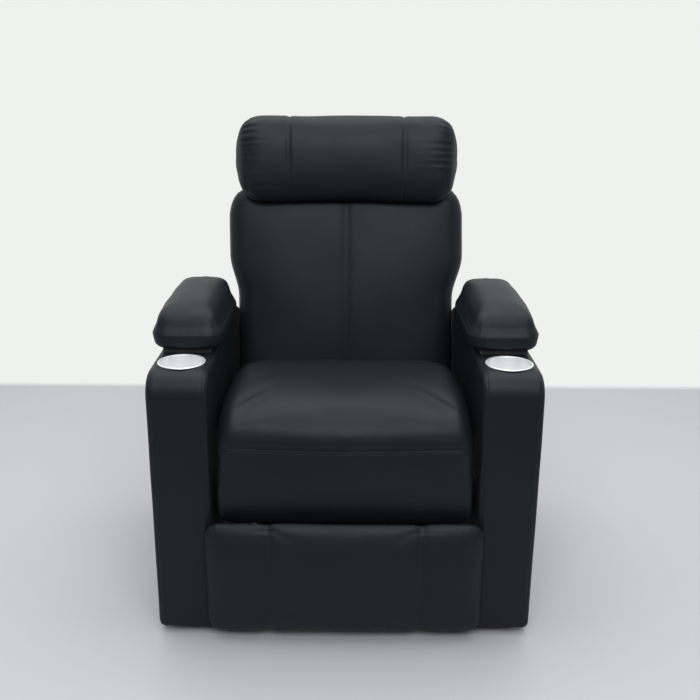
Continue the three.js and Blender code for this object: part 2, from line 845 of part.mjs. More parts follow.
function backBracket() {
  const strapMid = fit + backFrameThickness / 2;
  const hinge = at(0, 0);
  const root = at(strapMid, backCushionLow - bracketRootDrop);
  const web = plate(capsule(hinge, root, backFrameThickness / 2), bracketIn, bracketOut);
  const strap = block(
    [bracketIn, bracketOut], [fit, fit + backFrameThickness], [backCushionLow - strapDrop, bracketTop],
  );
  const lobe = bar(hinge, seatPlateLobe, bracketIn, bracketOut, roundSides);
  const stud = bar(hinge, hingeStudRadius, bracketOut - sink, seatPlateOut, roundSides);
  return join(web, strap, lobe, stud);
}
addPair("back_bracket", backBracket(), steel, backGroup);

function backShell() {
  const front = fit + backFrameThickness + fit;
  const height = shellHigh - backFrameLow;
  const middle = (shellHigh + backFrameLow) / 2;
  const size = [shellWidth, shellDepth, height];
  const lines = [gridLines(8), gridLines(4), gridLines(8)];
  const radii = [shellEdgeRadius, shellEdgeRadius, shellEdgeRadius];
  return padded(size, radii, lines, ([x, y, z], [xShare, yShare, zShare]) => {
    const bulge = Math.max(0, yShare) * backCrown * hump(xShare) * hump(zShare);
    return [x, front + shellDepth / 2 + y + bulge, middle + z];
  });
}
add("back_shell", backShell(), leather, backGroup);

// Headrest: a bolster whose lower lip hangs in front of the back cushion
function headrestPillow() {
  const lipRear = backFront + backCrown + fit;
  const seat = backCushionHigh + fit;
  const height = headHigh - headLow;
  const depth = headFront - headRear;
  const lower = (share) => headLow + share * height;
  const deep = (share) => -headFront + share * depth;
  const outline = new THREE.CatmullRomCurve3([
    [deep(0), lower(0.5)], [deep(0.06), lower(0.2)], [deep(0.2), lower(0.03)], [deep(0.33), lower(0.01)],
    [-lipRear, lower(0.12)], [-lipRear + headLipEase, seat + headLipEase], [deep(0.7), seat + headSeatEase],
    [deep(0.96), seat + headRearEase],
    [deep(1), lower(0.5)], [deep(0.98), lower(0.86)], [deep(0.72), lower(0.98)], [deep(0.45), lower(1)],
    [deep(0.16), lower(0.9)], [deep(0.03), lower(0.72)],
  ].map(([back, up]) => new THREE.Vector3(0, back, up)), true, "catmullrom", 0.5);
  const ring = outline.getPoints(headRingPoints).slice(0, headRingPoints);
  ring.forEach((point) => point.setY(Math.min(point.y, -headRear)));
  const heart = new THREE.Vector3(0, -(headFront + headRear) / 2, lower(0.56));
  const seamShares = [-headSeamOut, headSeamOut].map((out) => out / (headWidth / 2));
  const stations = gridLines(12, seamShares);
  const rings = stations.map((share) => {
    const fromEnd = (1 - Math.abs(share)) * headWidth / 2;
    const inset = Math.max(0, headEndRadius - fromEnd);
    const swell = Math.sqrt(Math.max(0, headEndRadius ** 2 - inset ** 2)) / headEndRadius;
    const seam = seamShares.reduce((sum, place) => sum + groove(share, place), 0);
    const scale = 1 - (1 - swell) * headEndFall - seam * headSeamDepth / (depth / 2);
    return ring.map((point) => heart.clone().lerp(point, scale).setX(share * headWidth / 2));
  });
  return loft(rings);
}

// Rings of equal count, each joined to the next, with flat ends.
function loft(rings) {
  const count = rings[0].length;
  const points = rings.flat();
  const index = [];
  for (let station = 0; station < rings.length - 1; station += 1) {
    for (let i = 0; i < count; i += 1) {
      const a = station * count + i;
      const b = station * count + (i + 1) % count;
      index.push(a, b, a + count, b, b + count, a + count);
    }
  }
  const capOf = (ring) => THREE.ShapeUtils.triangulateShape(ring.map((point) => at(point.y, point.z)), []);
  const last = (rings.length - 1) * count;
  for (const [a, b, c] of capOf(rings[0])) {
    index.push(a, c, b, last + a, last + b, last + c);
  }
  const geometry = new THREE.BufferGeometry().setFromPoints(points);
  geometry.setIndex(index);
  return facingOut(geometry);
}

function volumeOf(geometry) {
  const position = geometry.getAttribute("position");
  const corner = (i) => new THREE.Vector3().fromBufferAttribute(position, geometry.index.getX(i));
  let volume = 0;
  for (let i = 0; i < geometry.index.count; i += 3) {
    volume += corner(i).dot(corner(i + 1).cross(corner(i + 2))) / 6;
  }
  return volume;
}

function facingOut(geometry) {
  if (volumeOf(geometry) > 0) {
    return geometry;
  }
  const index = Array.from(geometry.index.array);
  for (let i = 0; i < index.length; i += 3) {
    [index[i], index[i + 1]] = [index[i + 1], index[i]];
  }
  geometry.setIndex(index);
  return geometry;
}
add("headrest_pillow", headrestPillow(), leather, backGroup);

const headrestBoard = block(
  [-headBoardWidth / 2, headBoardWidth / 2], [-headRear + fit, 0], [headBoardLow, backFrameHigh],
);
add("headrest_board", headrestBoard, wood, backGroup);

// Footrest
function footrestCushion() {
  const height = footrestHigh - footrestLow;
  const depth = footrestFront - footrestRear - footrestCrown;
  const seamShares = [-footrestSeamOut, footrestSeamOut].map((out) => out / (footrestWidth / 2));
  const size = [footrestWidth, depth, height];
  const lines = [gridLines(10, seamShares), gridLines(4), gridLines(8)];
  const radii = [footrestEdgeRadius, depth * 0.48, footrestEdgeRadius];
  return padded(size, radii, lines, ([x, y, z], [xShare, yShare, zShare]) => {
    const front = Math.max(0, -yShare);
    const crown = front * footrestCrown * hump(xShare * xShare) * hump(zShare);
    const grooves = seamShares.reduce((sum, place) => sum + groove(xShare, place), 0);
    const seam = front * footrestSeamDepth * grooves;
    return [x, -footrestRear - depth / 2 + y - crown + seam, (footrestHigh + footrestLow) / 2 + z];
  });
}
add("footrest_cushion", footrestCushion(), leather);

const footBoardFront = -footrestRear + fit;
const footBoardRear = footBoardFront + footBoardThickness;
const footrestBoard = block(
  [-footBoardWidth / 2, footBoardWidth / 2], [footBoardFront, footBoardRear],
  [footrestLow + footBoardInset, footrestHigh - footBoardInset],
);
add("footrest_board", footrestBoard, wood);

// The bracket is open at its lower pivot: its stud runs in a wide hole of the foot link.
function footBracket() {
  const front = footBoardRear + fit;
  const top = footPivot.y + footBracketRadius;
  const low = footTailPivot.y - footBracketRadius;
  const web = join(
    plate(capsule(footPivot, footTailPivot, footBracketRadius), driveIn, driveOut),
    block([driveIn, driveOut], [front, footPivot.x], [low, top]),
    block([driveOut - footBracketFlange, driveOut], [front, front + footBracketThickness], [low, top]),
    bar(footTailPivot, studRadius, driveOut - sink, reachOut),
  );
  return cut(web, bore(footPivot, studRadius, driveIn, driveOut));
}
addPair("footrest_bracket", footBracket(), steel);

// The two drive links and the torque tube between them are one welded piece, with the crank lugs.
function driveFrame() {
  const link = join(
    plate(capsule(drivePivot, tailPivot, linkRadius), driveIn, driveOut),
    bar(drivePivot, driveLobe, driveIn, driveOut, roundSides),
  );
  const bored = cut(
    link,
    bore(crossPivot, studRadius, driveIn, driveOut),
    bore(tailPivot, studRadius, driveIn, driveOut),
  );
  const journal = bar(drivePivot, journalRadius, driveOut - sink, seatPlateOut, roundSides);
  const lugIn = rodEyeWidth / 2 + sideRun;
  const lug = cut(
    plate(capsule(drivePivot, crankPivot, crankRadius), lugIn, lugIn + crankThickness),
    bar(crankPivot, studRadius, lugIn - overrun, lugIn + crankThickness + overrun),
  );
  const tube = bar(drivePivot, driveTubeRadius, -driveIn - sink, driveIn + sink, roundSides);
  const halves = [bored, journal, lug];
  return join(tube, ...halves, ...halves.map(mirrored));
}
add("drive_frame", driveFrame(), steel);

const reachLink = cut(
  join(
    plate(capsule(reachEnd, footPivot, linkRadius), reachIn, reachOut),
    bar(crossPivot, studRadius, driveIn, reachIn + sink),
    bar(footPivot, studRadius, driveIn, reachIn + sink),
  ),
  bore(reachEnd, studRadius + openPivotSlack / 2, reachIn, reachOut),
);
addPair("reach_link", reachLink, steel);

const guideLink = join(
  plate(capsule(guidePivot, reachEnd, linkRadius), driveIn, driveOut),
  bar(guidePivot, studRadius, driveOut - sink, seatPlateOut),
  bar(reachEnd, studRadius, driveOut - sink, reachOut),
);
addPair("guide_link", guideLink, steel);

const footLink = cut(
  join(
    plate(capsule(tailPivot, footTailPivot, guideRadius), reachIn, reachOut),
    bar(tailPivot, studRadius, driveIn, reachIn + sink),
  ),
  bore(footTailPivot, studRadius + openPivotSlack, reachIn, reachOut),
);
addPair("foot_link", footLink, steel);

// Actuator: drawn along +Y from its rear eye, then turned to point at the crank
const rodAim = Math.atan2(crankPivot.y - motorPivot.y, crankPivot.x - motorPivot.x);
const rodReach = motorPivot.distanceTo(crankPivot);
function aimed(geometry) {
  return geometry.rotateX(rodAim).translate(0, motorPivot.x, motorPivot.y);
}

function tubeAlongY(radius, start, end, sides = roundSides) {
  return new THREE.CylinderGeometry(radius, radius, end - start, sides).translate(0, (start + end) / 2, 0);
}

function actuatorHousing() {
  const eye = at(0, 0);
  const gearbox = block(
    [-gearboxWidth / 2, gearboxWidth / 2],
    [gearboxStart, gearboxStart + gearboxLength],
    [-gearboxHeight / 2, gearboxHeight / 2],
  );
  const motor = new THREE.CylinderGeometry(motorRadius, motorRadius, motorLength, roundSides);
  const motorMiddle = gearboxHeight / 2 + motorLength / 2 - sink;
  motor.rotateX(Math.PI / 2).translate(0, gearboxStart + gearboxLength / 2, motorMiddle);
  const neck = block(
    [-motorEyeWidth / 2, motorEyeWidth / 2],
    [0, gearboxStart + sink],
    [-motorEyeRadius / 2, motorEyeRadius / 2],
  );
  const tubeEnd = gearboxStart + actuatorTubeLength;
  const body = join(
    gearbox, motor, neck,
    bar(eye, motorEyeRadius, -motorEyeWidth / 2, motorEyeWidth / 2, roundSides),
    bar(eye, studRadius, -motorEyeWidth / 2 - motorLugThickness, motorEyeWidth / 2 + motorLugThickness),
    tubeAlongY(actuatorTubeRadius, gearboxStart + gearboxLength - sink, tubeEnd),
  );
  const boreRadius = (rodRadius + fit) / Math.cos(Math.PI / roundSides);
  const rodBore = tubeAlongY(boreRadius, gearboxStart + gearboxLength - sink, tubeEnd + overrun);
  return aimed(cut(body, rodBore));
}
add("actuator_housing", actuatorHousing(), plastic);

function actuatorRod() {
  const start = gearboxStart + actuatorTubeLength - rodHidden;
  const rod = tubeAlongY(rodRadius, start, rodReach - rodNeckLength);
  const eye = bar(at(rodReach, 0), crankRadius - sideRun, -rodEyeWidth / 2, rodEyeWidth / 2);
  const neck = block(
    [-rodEyeWidth / 2, rodEyeWidth / 2],
    [rodReach - rodNeckLength - sink, rodReach],
    [-crankRadius * 0.6, crankRadius * 0.6],
  );
  const hole = bar(at(rodReach, 0), studRadius, -rodEyeWidth, rodEyeWidth);
  return aimed(cut(join(rod, neck, eye), hole));
}
add("actuator_rod", actuatorRod(), spring);

// Power supply on the rear cross tube, with a strain relief, a lead, its coil and a plug
const supplyFloor = railUp + railHeight + fit;
const supplyBack = crossRearBack + (railWidth - supplyWidth) / 2;
const exitUp = supplyFloor + supplyHeight / 2;
const supplyShape = roundedRectangle(supplyWidth, supplyHeight, supplyEdge);
const supply = plate(supplyShape, supplyOut, supplyOut + supplyLength);
supply.translate(0, supplyBack + supplyWidth / 2, exitUp);
add("power_supply", supply, plastic);

const reliefStart = supplyBack + supplyWidth + fit;
const reliefEnd = reliefStart + reliefLength;
function strainRelief() {
  const step = reliefLength / (2 * reliefRings);
  const profile = [at(0, 0), at(reliefRadius, 0)];
  for (let ring = 1; ring < 2 * reliefRings; ring += 1) {
    const share = ring / (2 * reliefRings);
    const radius = reliefRadius + (reliefTipRadius - reliefRadius) * share;
    profile.push(at(ring % 2 ? radius : radius - reliefGroove, ring * step));
  }
  profile.push(at(reliefTipRadius, reliefLength), at(0, reliefLength));
  return new THREE.LatheGeometry(profile, roundSides).translate(leadOut, reliefStart, exitUp);
}
add("strain_relief", strainRelief(), rubber);

// The lead's free stretch, by hand: out of the relief, down to the floor and round to the coil
const leadFloor = leadRadius + leadLift;
const leadPoints = [
  [-180, 676.6, 76.3], [-180, 688, 76.3], [-180, 699, 74.2], [-180, 709, 68.4], [-179.6, 717, 59.2],
  [-178.6, 723, 47.6], [-176.6, 728.6, 35.6], [-172.6, 734.6, 24], [-165.4, 741, 14.2], [-154.6, 747.2, 7.4],
  [-141, 752.4, 4.3], [-125, 756.6, 3.7], [-107, 759.2, 3.7], [-88, 760, 3.7], [-67.3, 760, 3.7],
];

function tubeAlong(curve, steps, sides, radius) {
  const section = springShape(radius, sides);
  return new THREE.ExtrudeGeometry(section, { steps, bevelEnabled: false, extrudePath: curve });
}

const leadStart = [leadOut, reliefEnd + fit, exitUp];
const leadEnd = [coilOut - coilLeadIn - fit, coilBack + coilRadius, leadFloor];
const leadRoute = [leadStart, ...leadPoints.slice(1, -1), leadEnd];
const leadCurve = new THREE.CatmullRomCurve3(leadRoute.map((point) => new THREE.Vector3(...point)));
add("power_lead", tubeAlong(leadCurve, leadSteps, leadSides, leadRadius), rubber);

// The coil: in along the floor, up a layer in the half turn where it reverses, and out again
class Coil extends THREE.Curve {
  getPoint(share, target = new THREE.Vector3()) {
    const around = 2 * Math.PI * coilRadius;
    const path = share * (coilTurns * around + coilLeadIn + plugReach) - coilLeadIn;
    const held = Math.min(coilTurns, Math.max(0, path / around));
    const beyond = path - held * around;
    const inward = Math.min(held, coilTurns - held);
    const radius = coilRadius - coilPitch * inward;
    const climb = smooth((held - coilTurns / 2) / 0.5 + 0.5);
    const angle = Math.PI / 2 - held * 2 * Math.PI;
    return target.set(
      coilOut + radius * Math.cos(angle) - Math.abs(beyond),
      coilBack + radius * Math.sin(angle),
      leadFloor + climb * coilPitch,
    );
  }
}

const coilCurve = new Coil();
const coilSteps = Math.round(coilStepsPerTurn * coilTurns);
add("power_lead_coil", tubeAlong(coilCurve, coilSteps, coilSides, leadRadius), rubber);

function coilReport() {
  const points = coilCurve.getPoints(coilSteps * 4);
  const perTurn = points.length / coilTurns;
  let least = Infinity;
  let length = 0;
  for (let i = 0; i < points.length; i += 1) {
    length += i > 0 ? points[i].distanceTo(points[i - 1]) : 0;
    for (let j = Math.ceil(i + perTurn / 4); j < points.length; j += 1) {
      least = Math.min(least, points[i].distanceTo(points[j]));
    }
  }
  const free = leadCurve.getLength();
  const gap = least - 2 * leadRadius;
  console.log(`coil: least gap to itself ${gap.toFixed(2)} mm, length ${length.toFixed(0)} mm`);
  console.log(`lead: free stretch ${free.toFixed(0)} mm, with the coil ${(free + length).toFixed(0)} mm`);
}
coilReport();

// The plug lies beside the coil, where its outer turn ends, heading to the viewer's left
function plug() {
  const centre = at(coilBack - coilRadius, plugHeight / 2 + fit / 3);
  const end = coilOut - plugReach - fit;
  const body = plate(roundedRectangle(plugWidth, plugHeight, plugEdge), end - plugLength, end);
  body.translate(0, centre.x, centre.y);
  const blades = [-1, 1].map((side) => block(
    [end - plugLength - plugBladeLength, end - plugLength + sink],
    [centre.x + side * plugBladeSpacing / 2 - plugBladeThickness / 2,
      centre.x + side * plugBladeSpacing / 2 + plugBladeThickness / 2],
    [centre.y - plugBladeWidth / 2, centre.y + plugBladeWidth / 2],
  ));
  return join(body, ...blades);
}
add("power_plug", plug(), plastic);

// Switch plate and its two buttons
const buttonPlaces = [buttonInset, switchLength - buttonInset];
function switchPlate() {
  const shape = roundedRectangle(switchLength, switchHeight, switchCorner);
  const face = plate(shape, -armOut - fit - switchThickness, -armOut - fit);
  face.translate(0, switchBack + switchLength / 2, switchUp + switchHeight / 2);
  const holes = buttonPlaces.map((place) => bore(
    at(switchBack + place, switchUp + switchHeight / 2), buttonRadius,
    -armOut - fit - switchThickness, -armOut, roundSides,
  ));
  return cut(face, ...holes);
}
add("switch_plate", switchPlate(), plastic);

buttonPlaces.forEach((place, i) => {
  const face = -armOut - fit - switchThickness - buttonProud;
  const centre = at(switchBack + place, switchUp + switchHeight / 2);
  add(`switch_button_${i + 1}`, bar(centre, buttonRadius, face, face + buttonLength, roundSides), plastic);
});

// The origin goes under the middle of the seat, its lead and plug left out.
const onLead = ["power_lead", "power_lead_coil", "power_plug", "strain_relief"];
chair.updateMatrixWorld(true);
const extent = new THREE.Box3();
chair.traverse((object) => {
  if (object.isMesh && !onLead.includes(object.name)) {
    extent.expandByObject(object, true);
  }
});
chair.position.y = -(extent.min.y + extent.max.y) / 2;
chair.updateMatrixWorld(true);

export default chair;
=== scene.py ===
"""The looks of a cinema recliner seat, built round its CAD frame. Metres; +X right, +Y to the rear, +Z up.

Places are (out, back, up): out from the seat's middle plane, back from the arms' fronts, up from the floor.
Sizes are millimetres in named values, and MM turns them into metres. A share runs from -1 to 1 over a piece.
"""
import json
import math

import bmesh
import bpy
import numpy as np
from mathutils import Matrix, Vector, noise
from mathutils.bvhtree import BVHTree


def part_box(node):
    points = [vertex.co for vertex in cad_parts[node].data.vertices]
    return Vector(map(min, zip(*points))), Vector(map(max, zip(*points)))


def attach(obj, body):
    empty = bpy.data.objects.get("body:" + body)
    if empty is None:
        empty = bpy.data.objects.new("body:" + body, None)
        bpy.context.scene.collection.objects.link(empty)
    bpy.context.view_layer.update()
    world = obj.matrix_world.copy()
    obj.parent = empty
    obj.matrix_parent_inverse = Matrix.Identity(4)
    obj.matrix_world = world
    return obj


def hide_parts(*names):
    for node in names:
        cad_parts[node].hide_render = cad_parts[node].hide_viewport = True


MM = 0.001
SIDES = {"left": -1, "right": 1}

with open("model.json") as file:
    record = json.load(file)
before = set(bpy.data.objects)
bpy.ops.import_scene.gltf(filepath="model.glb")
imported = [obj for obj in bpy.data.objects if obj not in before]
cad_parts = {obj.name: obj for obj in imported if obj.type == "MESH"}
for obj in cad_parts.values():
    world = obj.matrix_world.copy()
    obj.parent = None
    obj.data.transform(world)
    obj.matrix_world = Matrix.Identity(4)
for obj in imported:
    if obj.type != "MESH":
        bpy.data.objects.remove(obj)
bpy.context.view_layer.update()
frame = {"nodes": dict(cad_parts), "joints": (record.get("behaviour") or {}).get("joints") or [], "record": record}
scene = bpy.context.scene
nodes = frame["nodes"]
joints = {joint["name"]: joint for joint in frame["joints"]}

ARM_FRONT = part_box("arm_cover_left")[0].y
ARM_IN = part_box("arm_cover_right")[0].x
ARM_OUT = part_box("arm_cover_right")[1].x
ARM_MID = (ARM_IN + ARM_OUT) / 2
RECLINE = Vector(joints["back_recline"]["pos_m"])
BACK_LEAN = math.radians(12.5)


def place(out, back, up):
    """A point given in millimetres, in the row frame."""
    return Vector((out * MM, ARM_FRONT + back * MM, up * MM))


def add_object(name, data):
    made = bpy.data.objects.new(name, data)
    scene.collection.objects.link(made)
    return made


# Camera, as the photograph was taken
CAMERA_HEIGHT = 1.197
CAMERA_AHEAD = 1.7146
CAMERA_PITCH, CAMERA_ROLL = 17.5, 0.33
FOCAL_PIXELS, PICTURE_PIXELS, MIDDLE_PIXEL = 907, 700, 345.5
SENSOR = 36


def make_camera():
    data = bpy.data.cameras.new("camera")
    data.sensor_width = SENSOR
    data.lens = FOCAL_PIXELS / PICTURE_PIXELS * SENSOR
    data.shift_x = (PICTURE_PIXELS / 2 - MIDDLE_PIXEL) / PICTURE_PIXELS
    camera = add_object("camera", data)
    camera.location = (0, ARM_FRONT - CAMERA_AHEAD, CAMERA_HEIGHT)
    pitch = Matrix.Rotation(math.radians(90 - CAMERA_PITCH), 3, "X")
    roll = Matrix.Rotation(math.radians(CAMERA_ROLL), 3, "Z")
    camera.rotation_euler = (pitch @ roll).to_euler()
    scene.camera = camera


make_camera()


# Materials
class Nodes:
    """A node tree, built a node at a time."""

    def __init__(self, tree):
        self.tree = tree

    def add(self, kind, inputs=None, **settings):
        node = self.tree.nodes.new(kind)
        for key, value in settings.items():
            setattr(node, key, value)
        for key, value in (inputs or {}).items():
            self.feed(node.inputs[key], value)
        return node

    def feed(self, socket, value):
        if isinstance(value, bpy.types.NodeSocket):
            self.tree.links.new(value, socket)
        else:
            socket.default_value = value

    def sum(self, operation, *values):
        return self.add("ShaderNodeMath", dict(enumerate(values)), operation=operation).outputs[0]

    def blend(self, value, first, second):
        node = self.add("ShaderNodeMix", data_type="RGBA")
        self.feed(node.inputs[0], value)
        self.feed(node.inputs[6], (*first, 1))
        self.feed(node.inputs[7], (*second, 1))
        return node.outputs[2]


class Finish(Nodes):
    """A material on a piece's own coordinates."""

    def __init__(self, name):
        self.material = bpy.data.materials.new(name)
        self.material.use_nodes = True
        super().__init__(self.material.node_tree)
        self.shader = self.tree.nodes["Principled BSDF"]
        self.coords = self.add("ShaderNodeTexCoord").outputs["Object"]

    def noise(self, scale, detail=3, roughness=0.5, stretch=(1, 1, 1)):
        mapping = self.add("ShaderNodeMapping", {"Vector": self.coords, "Scale": stretch})
        return self.add("ShaderNodeTexNoise", {
            "Vector": mapping.outputs[0], "Scale": scale, "Detail": detail, "Roughness": roughness,
        }).outputs["Fac"]

    def between(self, value, low, high):
        return self.add("ShaderNodeMapRange", {"Value": value, "To Min": low, "To Max": high}).outputs[0]

    def bump(self, height, strength, distance, under=None):
        inputs = {"Height": height, "Strength": strength, "Distance": distance}
        if under is not None:
            inputs["Normal"] = under
        return self.add("ShaderNodeBump", inputs).outputs[0]

    def set(self, **values):
        for key, value in values.items():
            self.feed(self.shader.inputs[key.replace("_", " ")], value)
        return self.material


def leather(name, dark, light):
    """Upholstery leather: a pebbled grain, fine creases, and a sheen that varies over each panel."""
    n = Finish(name)
    patches = n.noise(scale=7, detail=4, roughness=0.55)
    pores = n.add("ShaderNodeTexVoronoi", {"Vector": n.coords, "Scale": 620}, feature="SMOOTH_F1")
    creases = n.noise(scale=95, detail=6, roughness=0.62)
    fine = n.bump(creases, strength=0.10, distance=0.0012)
    return n.set(
        Base_Color=n.blend(patches, dark, light),
        Roughness=n.between(n.noise(scale=16, detail=5, roughness=0.6), low=0.40, high=0.56),
        Normal=n.bump(pores.outputs["Distance"], strength=0.16, distance=0.0004, under=fine),
        Specular_IOR_Level=0.24,
        Specular_Tint=(0.80, 0.91, 1.0, 1),
    )


def painted(name, color, roughness=0.42, metallic=0.0):
    """Powder coat or moulded plastic: a fine orange-peel surface with faint rubbing marks."""
    n = Finish(name)
    marks = n.noise(scale=60, detail=5, roughness=0.65)
    lighter = [min(1, channel * 1.5 + 0.004) for channel in color]
    return n.set(
        Base_Color=n.blend(n.noise(scale=25, detail=4), color, lighter),
        Metallic=metallic,
        Roughness=n.between(marks, low=roughness - 0.08, high=roughness + 0.1),
        Normal=n.bump(n.noise(scale=900, detail=2), strength=0.12, distance=0.0002),
    )


def drawn_steel(name, color, roughness=0.3):
    """Bare steel with a drawn grain along its length."""
    n = Finish(name)
    grain = n.noise(scale=90, detail=5, roughness=0.6, stretch=(1, 12, 1))
    return n.set(
        Base_Color=n.blend(grain, [channel * 0.8 for channel in color], color),
        Metallic=1.0,
        Roughness=n.between(grain, low=roughness - 0.08, high=roughness + 0.12),
        Normal=n.bump(grain, strength=0.05, distance=0.0003),
    )


def brushed_ring(name, middle):
    """Brushed steel turned on a lathe: the fine lines run round the given vertical axis."""
    n = Finish(name)
    shifted = n.add("ShaderNodeVectorMath", {0: n.coords, 1: middle}, operation="SUBTRACT").outputs[0]
    apart = n.add("ShaderNodeSeparateXYZ", {0: shifted})
    flat = n.add("ShaderNodeCombineXYZ", {"X": apart.outputs["X"], "Y": apart.outputs["Y"]}).outputs[0]
    radius = n.add("ShaderNodeVectorMath", {0: flat}, operation="LENGTH").outputs["Value"]
    lines = n.add("ShaderNodeTexNoise", {
        "Vector": n.add("ShaderNodeCombineXYZ", {"X": radius, "Z": apart.outputs["Z"]}).outputs[0],
        "Scale": 2600, "Detail": 3, "Roughness": 0.6,
    }).outputs["Fac"]
    return n.set(
        Base_Color=n.blend(lines, (0.84, 0.845, 0.85), (0.93, 0.935, 0.94)),
        Metallic=0.6,
        Roughness=n.between(lines, low=0.26, high=0.42),
        Normal=n.bump(lines, strength=0.08, distance=0.0002),
    )


def plywood(name):
    """Plywood coloured near-black, as painted shade where the boards show in the gaps under the arm pads and over
    the footrest: long figure, with fibres across it.
    """
    n = Finish(name)
    figure = n.noise(scale=10, detail=5, roughness=0.6, stretch=(1, 9, 1))
    fibres = n.noise(scale=140, detail=3, roughness=0.5, stretch=(1, 14, 1))
    return n.set(
        # Near-black base colour: painted shade for the boards seen in the gaps
        Base_Color=n.blend(figure, (0.010, 0.0095, 0.009), (0.022, 0.021, 0.020)),
        Roughness=n.between(fibres, low=0.7, high=0.9),
        Specular_IOR_Level=0.12,
        Normal=n.bump(fibres, strength=0.15, distance=0.0004),
    )


def felt(name):
    n = Finish(name)
    fibres = n.noise(scale=700, detail=6, roughness=0.7)
    return n.set(
        Base_Color=n.blend(fibres, (0.012, 0.013, 0.015), (0.035, 0.037, 0.042)),
        Roughness=0.95,
        Normal=n.bump(fibres, strength=0.5, distance=0.0008),
        Sheen_Weight=0.25,
        Sheen_Roughness=0.6,
    )


LEATHER = leather("cover_leather", (0.0068, 0.0084, 0.0105), (0.0108, 0.0128, 0.0156))
THREAD = painted("thread", (0.012, 0.0135, 0.016), 0.55)
STEEL = painted("frame_steel", (0.022, 0.023, 0.025), 0.40, 0.3)
BRIGHT = drawn_steel("bright_steel", (0.52, 0.53, 0.54))
WOOD = plywood("plywood")
PLASTIC = painted("moulded_plastic", (0.018, 0.019, 0.021), 0.48)
RUBBER = painted("cord_rubber", (0.012, 0.0125, 0.0135), 0.62)
FELT = felt("bin_lining")


# Stage: a pale grey floor, and past its edge the surround: off-white behind the seat, dark grey before it
FLOOR_SIZE = 60
FLOOR_GREY = (0.50, 0.493, 0.512)
FLOOR_HALF = Vector((2.6, 1.24))
FLOOR_EDGE = 0.02
SURROUND = (0.865, 0.878, 0.86)
SURROUND_FRONT = (0.21, 0.215, 0.225)
SURROUND_TURN = (-0.5, 0.45)
# Each light's name, place, size, power in watts, and the point that it faces
LIGHTS = (
    ("ceiling", (0, 0.1, 3.0), (3.4, 3.0), 66, (0, 0, 0.3)),
    ("window", (0.2, -2.9, 3.0), (3.0, 1.6), 84, (0, 0, 0.8)),
)
LIGHT_COLOR = (0.94, 0.97, 1.0)


def surround(n, direction):
    """The studio's colour in a direction."""
    back = n.add("ShaderNodeSeparateXYZ", {0: direction}).outputs["Y"]
    turn = {"Value": back, "From Min": SURROUND_TURN[0], "From Max": SURROUND_TURN[1]}
    share = n.add("ShaderNodeMapRange", turn, interpolation_type="SMOOTHSTEP")
    return n.blend(share.outputs[0], SURROUND_FRONT, SURROUND)


def make_stage():
    mesh = bpy.data.meshes.new("floor")
    half = FLOOR_SIZE / 2
    corners = [(-half, -half, 0), (half, -half, 0), (half, half, 0), (-half, half, 0)]
    mesh.from_pydata(corners, [], [(0, 1, 2, 3)])
    floor = add_object("floor", mesh)
    n = Finish("floor")
    apart = n.add("ShaderNodeSeparateXYZ", {0: n.coords})
    sides = [n.sum("ABSOLUTE", apart.outputs[axis]) for axis in ("X", "Y")]
    shares = [n.sum("DIVIDE", side, reach) for side, reach in zip(sides, FLOOR_HALF)]
    ends = {"Value": n.sum("MAXIMUM", *shares), "From Min": 1 - FLOOR_EDGE, "From Max": 1 + FLOOR_EDGE}
    edge = n.add("ShaderNodeMapRange", ends)
    n.set(
        Base_Color=(*FLOOR_GREY, 1),
        Roughness=n.between(n.noise(scale=3, detail=4), low=0.5, high=0.62),
        Normal=n.bump(n.noise(scale=260, detail=4), strength=0.04, distance=0.0005),
    )
    direction = n.add("ShaderNodeVectorMath", {0: n.coords}, operation="NORMALIZE").outputs[0]
    glow = n.add("ShaderNodeEmission", {"Color": surround(n, direction)})
    both = n.add("ShaderNodeMixShader", {0: edge.outputs[0], 1: n.shader.outputs[0], 2: glow.outputs[0]})
    n.feed(n.tree.nodes["Material Output"].inputs["Surface"], both.outputs[0])
    mesh.materials.append(n.material)


def make_lights():
    world = bpy.data.worlds.new("studio")
    world.use_nodes = True
    n = Nodes(world.node_tree)
    direction = n.add("ShaderNodeTexCoord").outputs["Generated"]
    n.feed(n.tree.nodes["Background"].inputs["Color"], surround(n, direction))
    scene.world = world
    for name, location, size, power, target in LIGHTS:
        data = bpy.data.lights.new(name, "AREA")
        data.shape = "RECTANGLE"
        data.size, data.size_y = size
        data.energy = power
        data.color = LIGHT_COLOR
        light = add_object(name, data)
        light.location = location
        light.rotation_euler = (Vector(target) - Vector(location)).to_track_quat("-Z", "Y").to_euler()


make_stage()
make_lights()
scene.view_settings.view_transform = "Standard"


# Meshes
def smooth(mesh, sharp=None):
    """Shades a mesh smooth, but for edges that turn by more than so many degrees."""
    mesh.polygons.foreach_set("use_smooth", [True] * len(mesh.polygons))
    if sharp is not None:
        mesh.set_sharp_from_angle(angle=math.radians(sharp))


def mesh_piece(name, points, faces, material):
    mesh = bpy.data.meshes.new(name)
    mesh.from_pydata([tuple(p) for p in points], [], [tuple(int(i) for i in f) for f in faces])
    smooth(mesh)
    mesh.materials.append(material)
    return add_object(name, mesh)


def tube_faces(rings, sides, first=0, capped=True):
    """Faces round a tube whose points stand ring after ring."""
    faces = []
    for start in range(first, first + (rings - 1) * sides, sides):
        for side in range(sides):
            after = (side + 1) % sides
            faces.append((start + side, start + after, start + sides + after, start + sides + side))
    if capped:
        faces.append(tuple(first + side for side in reversed(range(sides))))
        faces.append(tuple(first + (rings - 1) * sides + side for side in range(sides)))
    return faces


def circle(sides):
    """The cosine and sine at even steps round a circle."""
    angles = [2 * math.pi * side / sides for side in range(sides)]
    return [(math.cos(angle), math.sin(angle)) for angle in angles]


def face_out(mesh):
    """Turns a closed mesh's faces outward."""
    bm = bmesh.new()
    bm.from_mesh(mesh)
    bmesh.ops.recalc_face_normals(bm, faces=bm.faces)
    bm.to_mesh(mesh)
    bm.free()


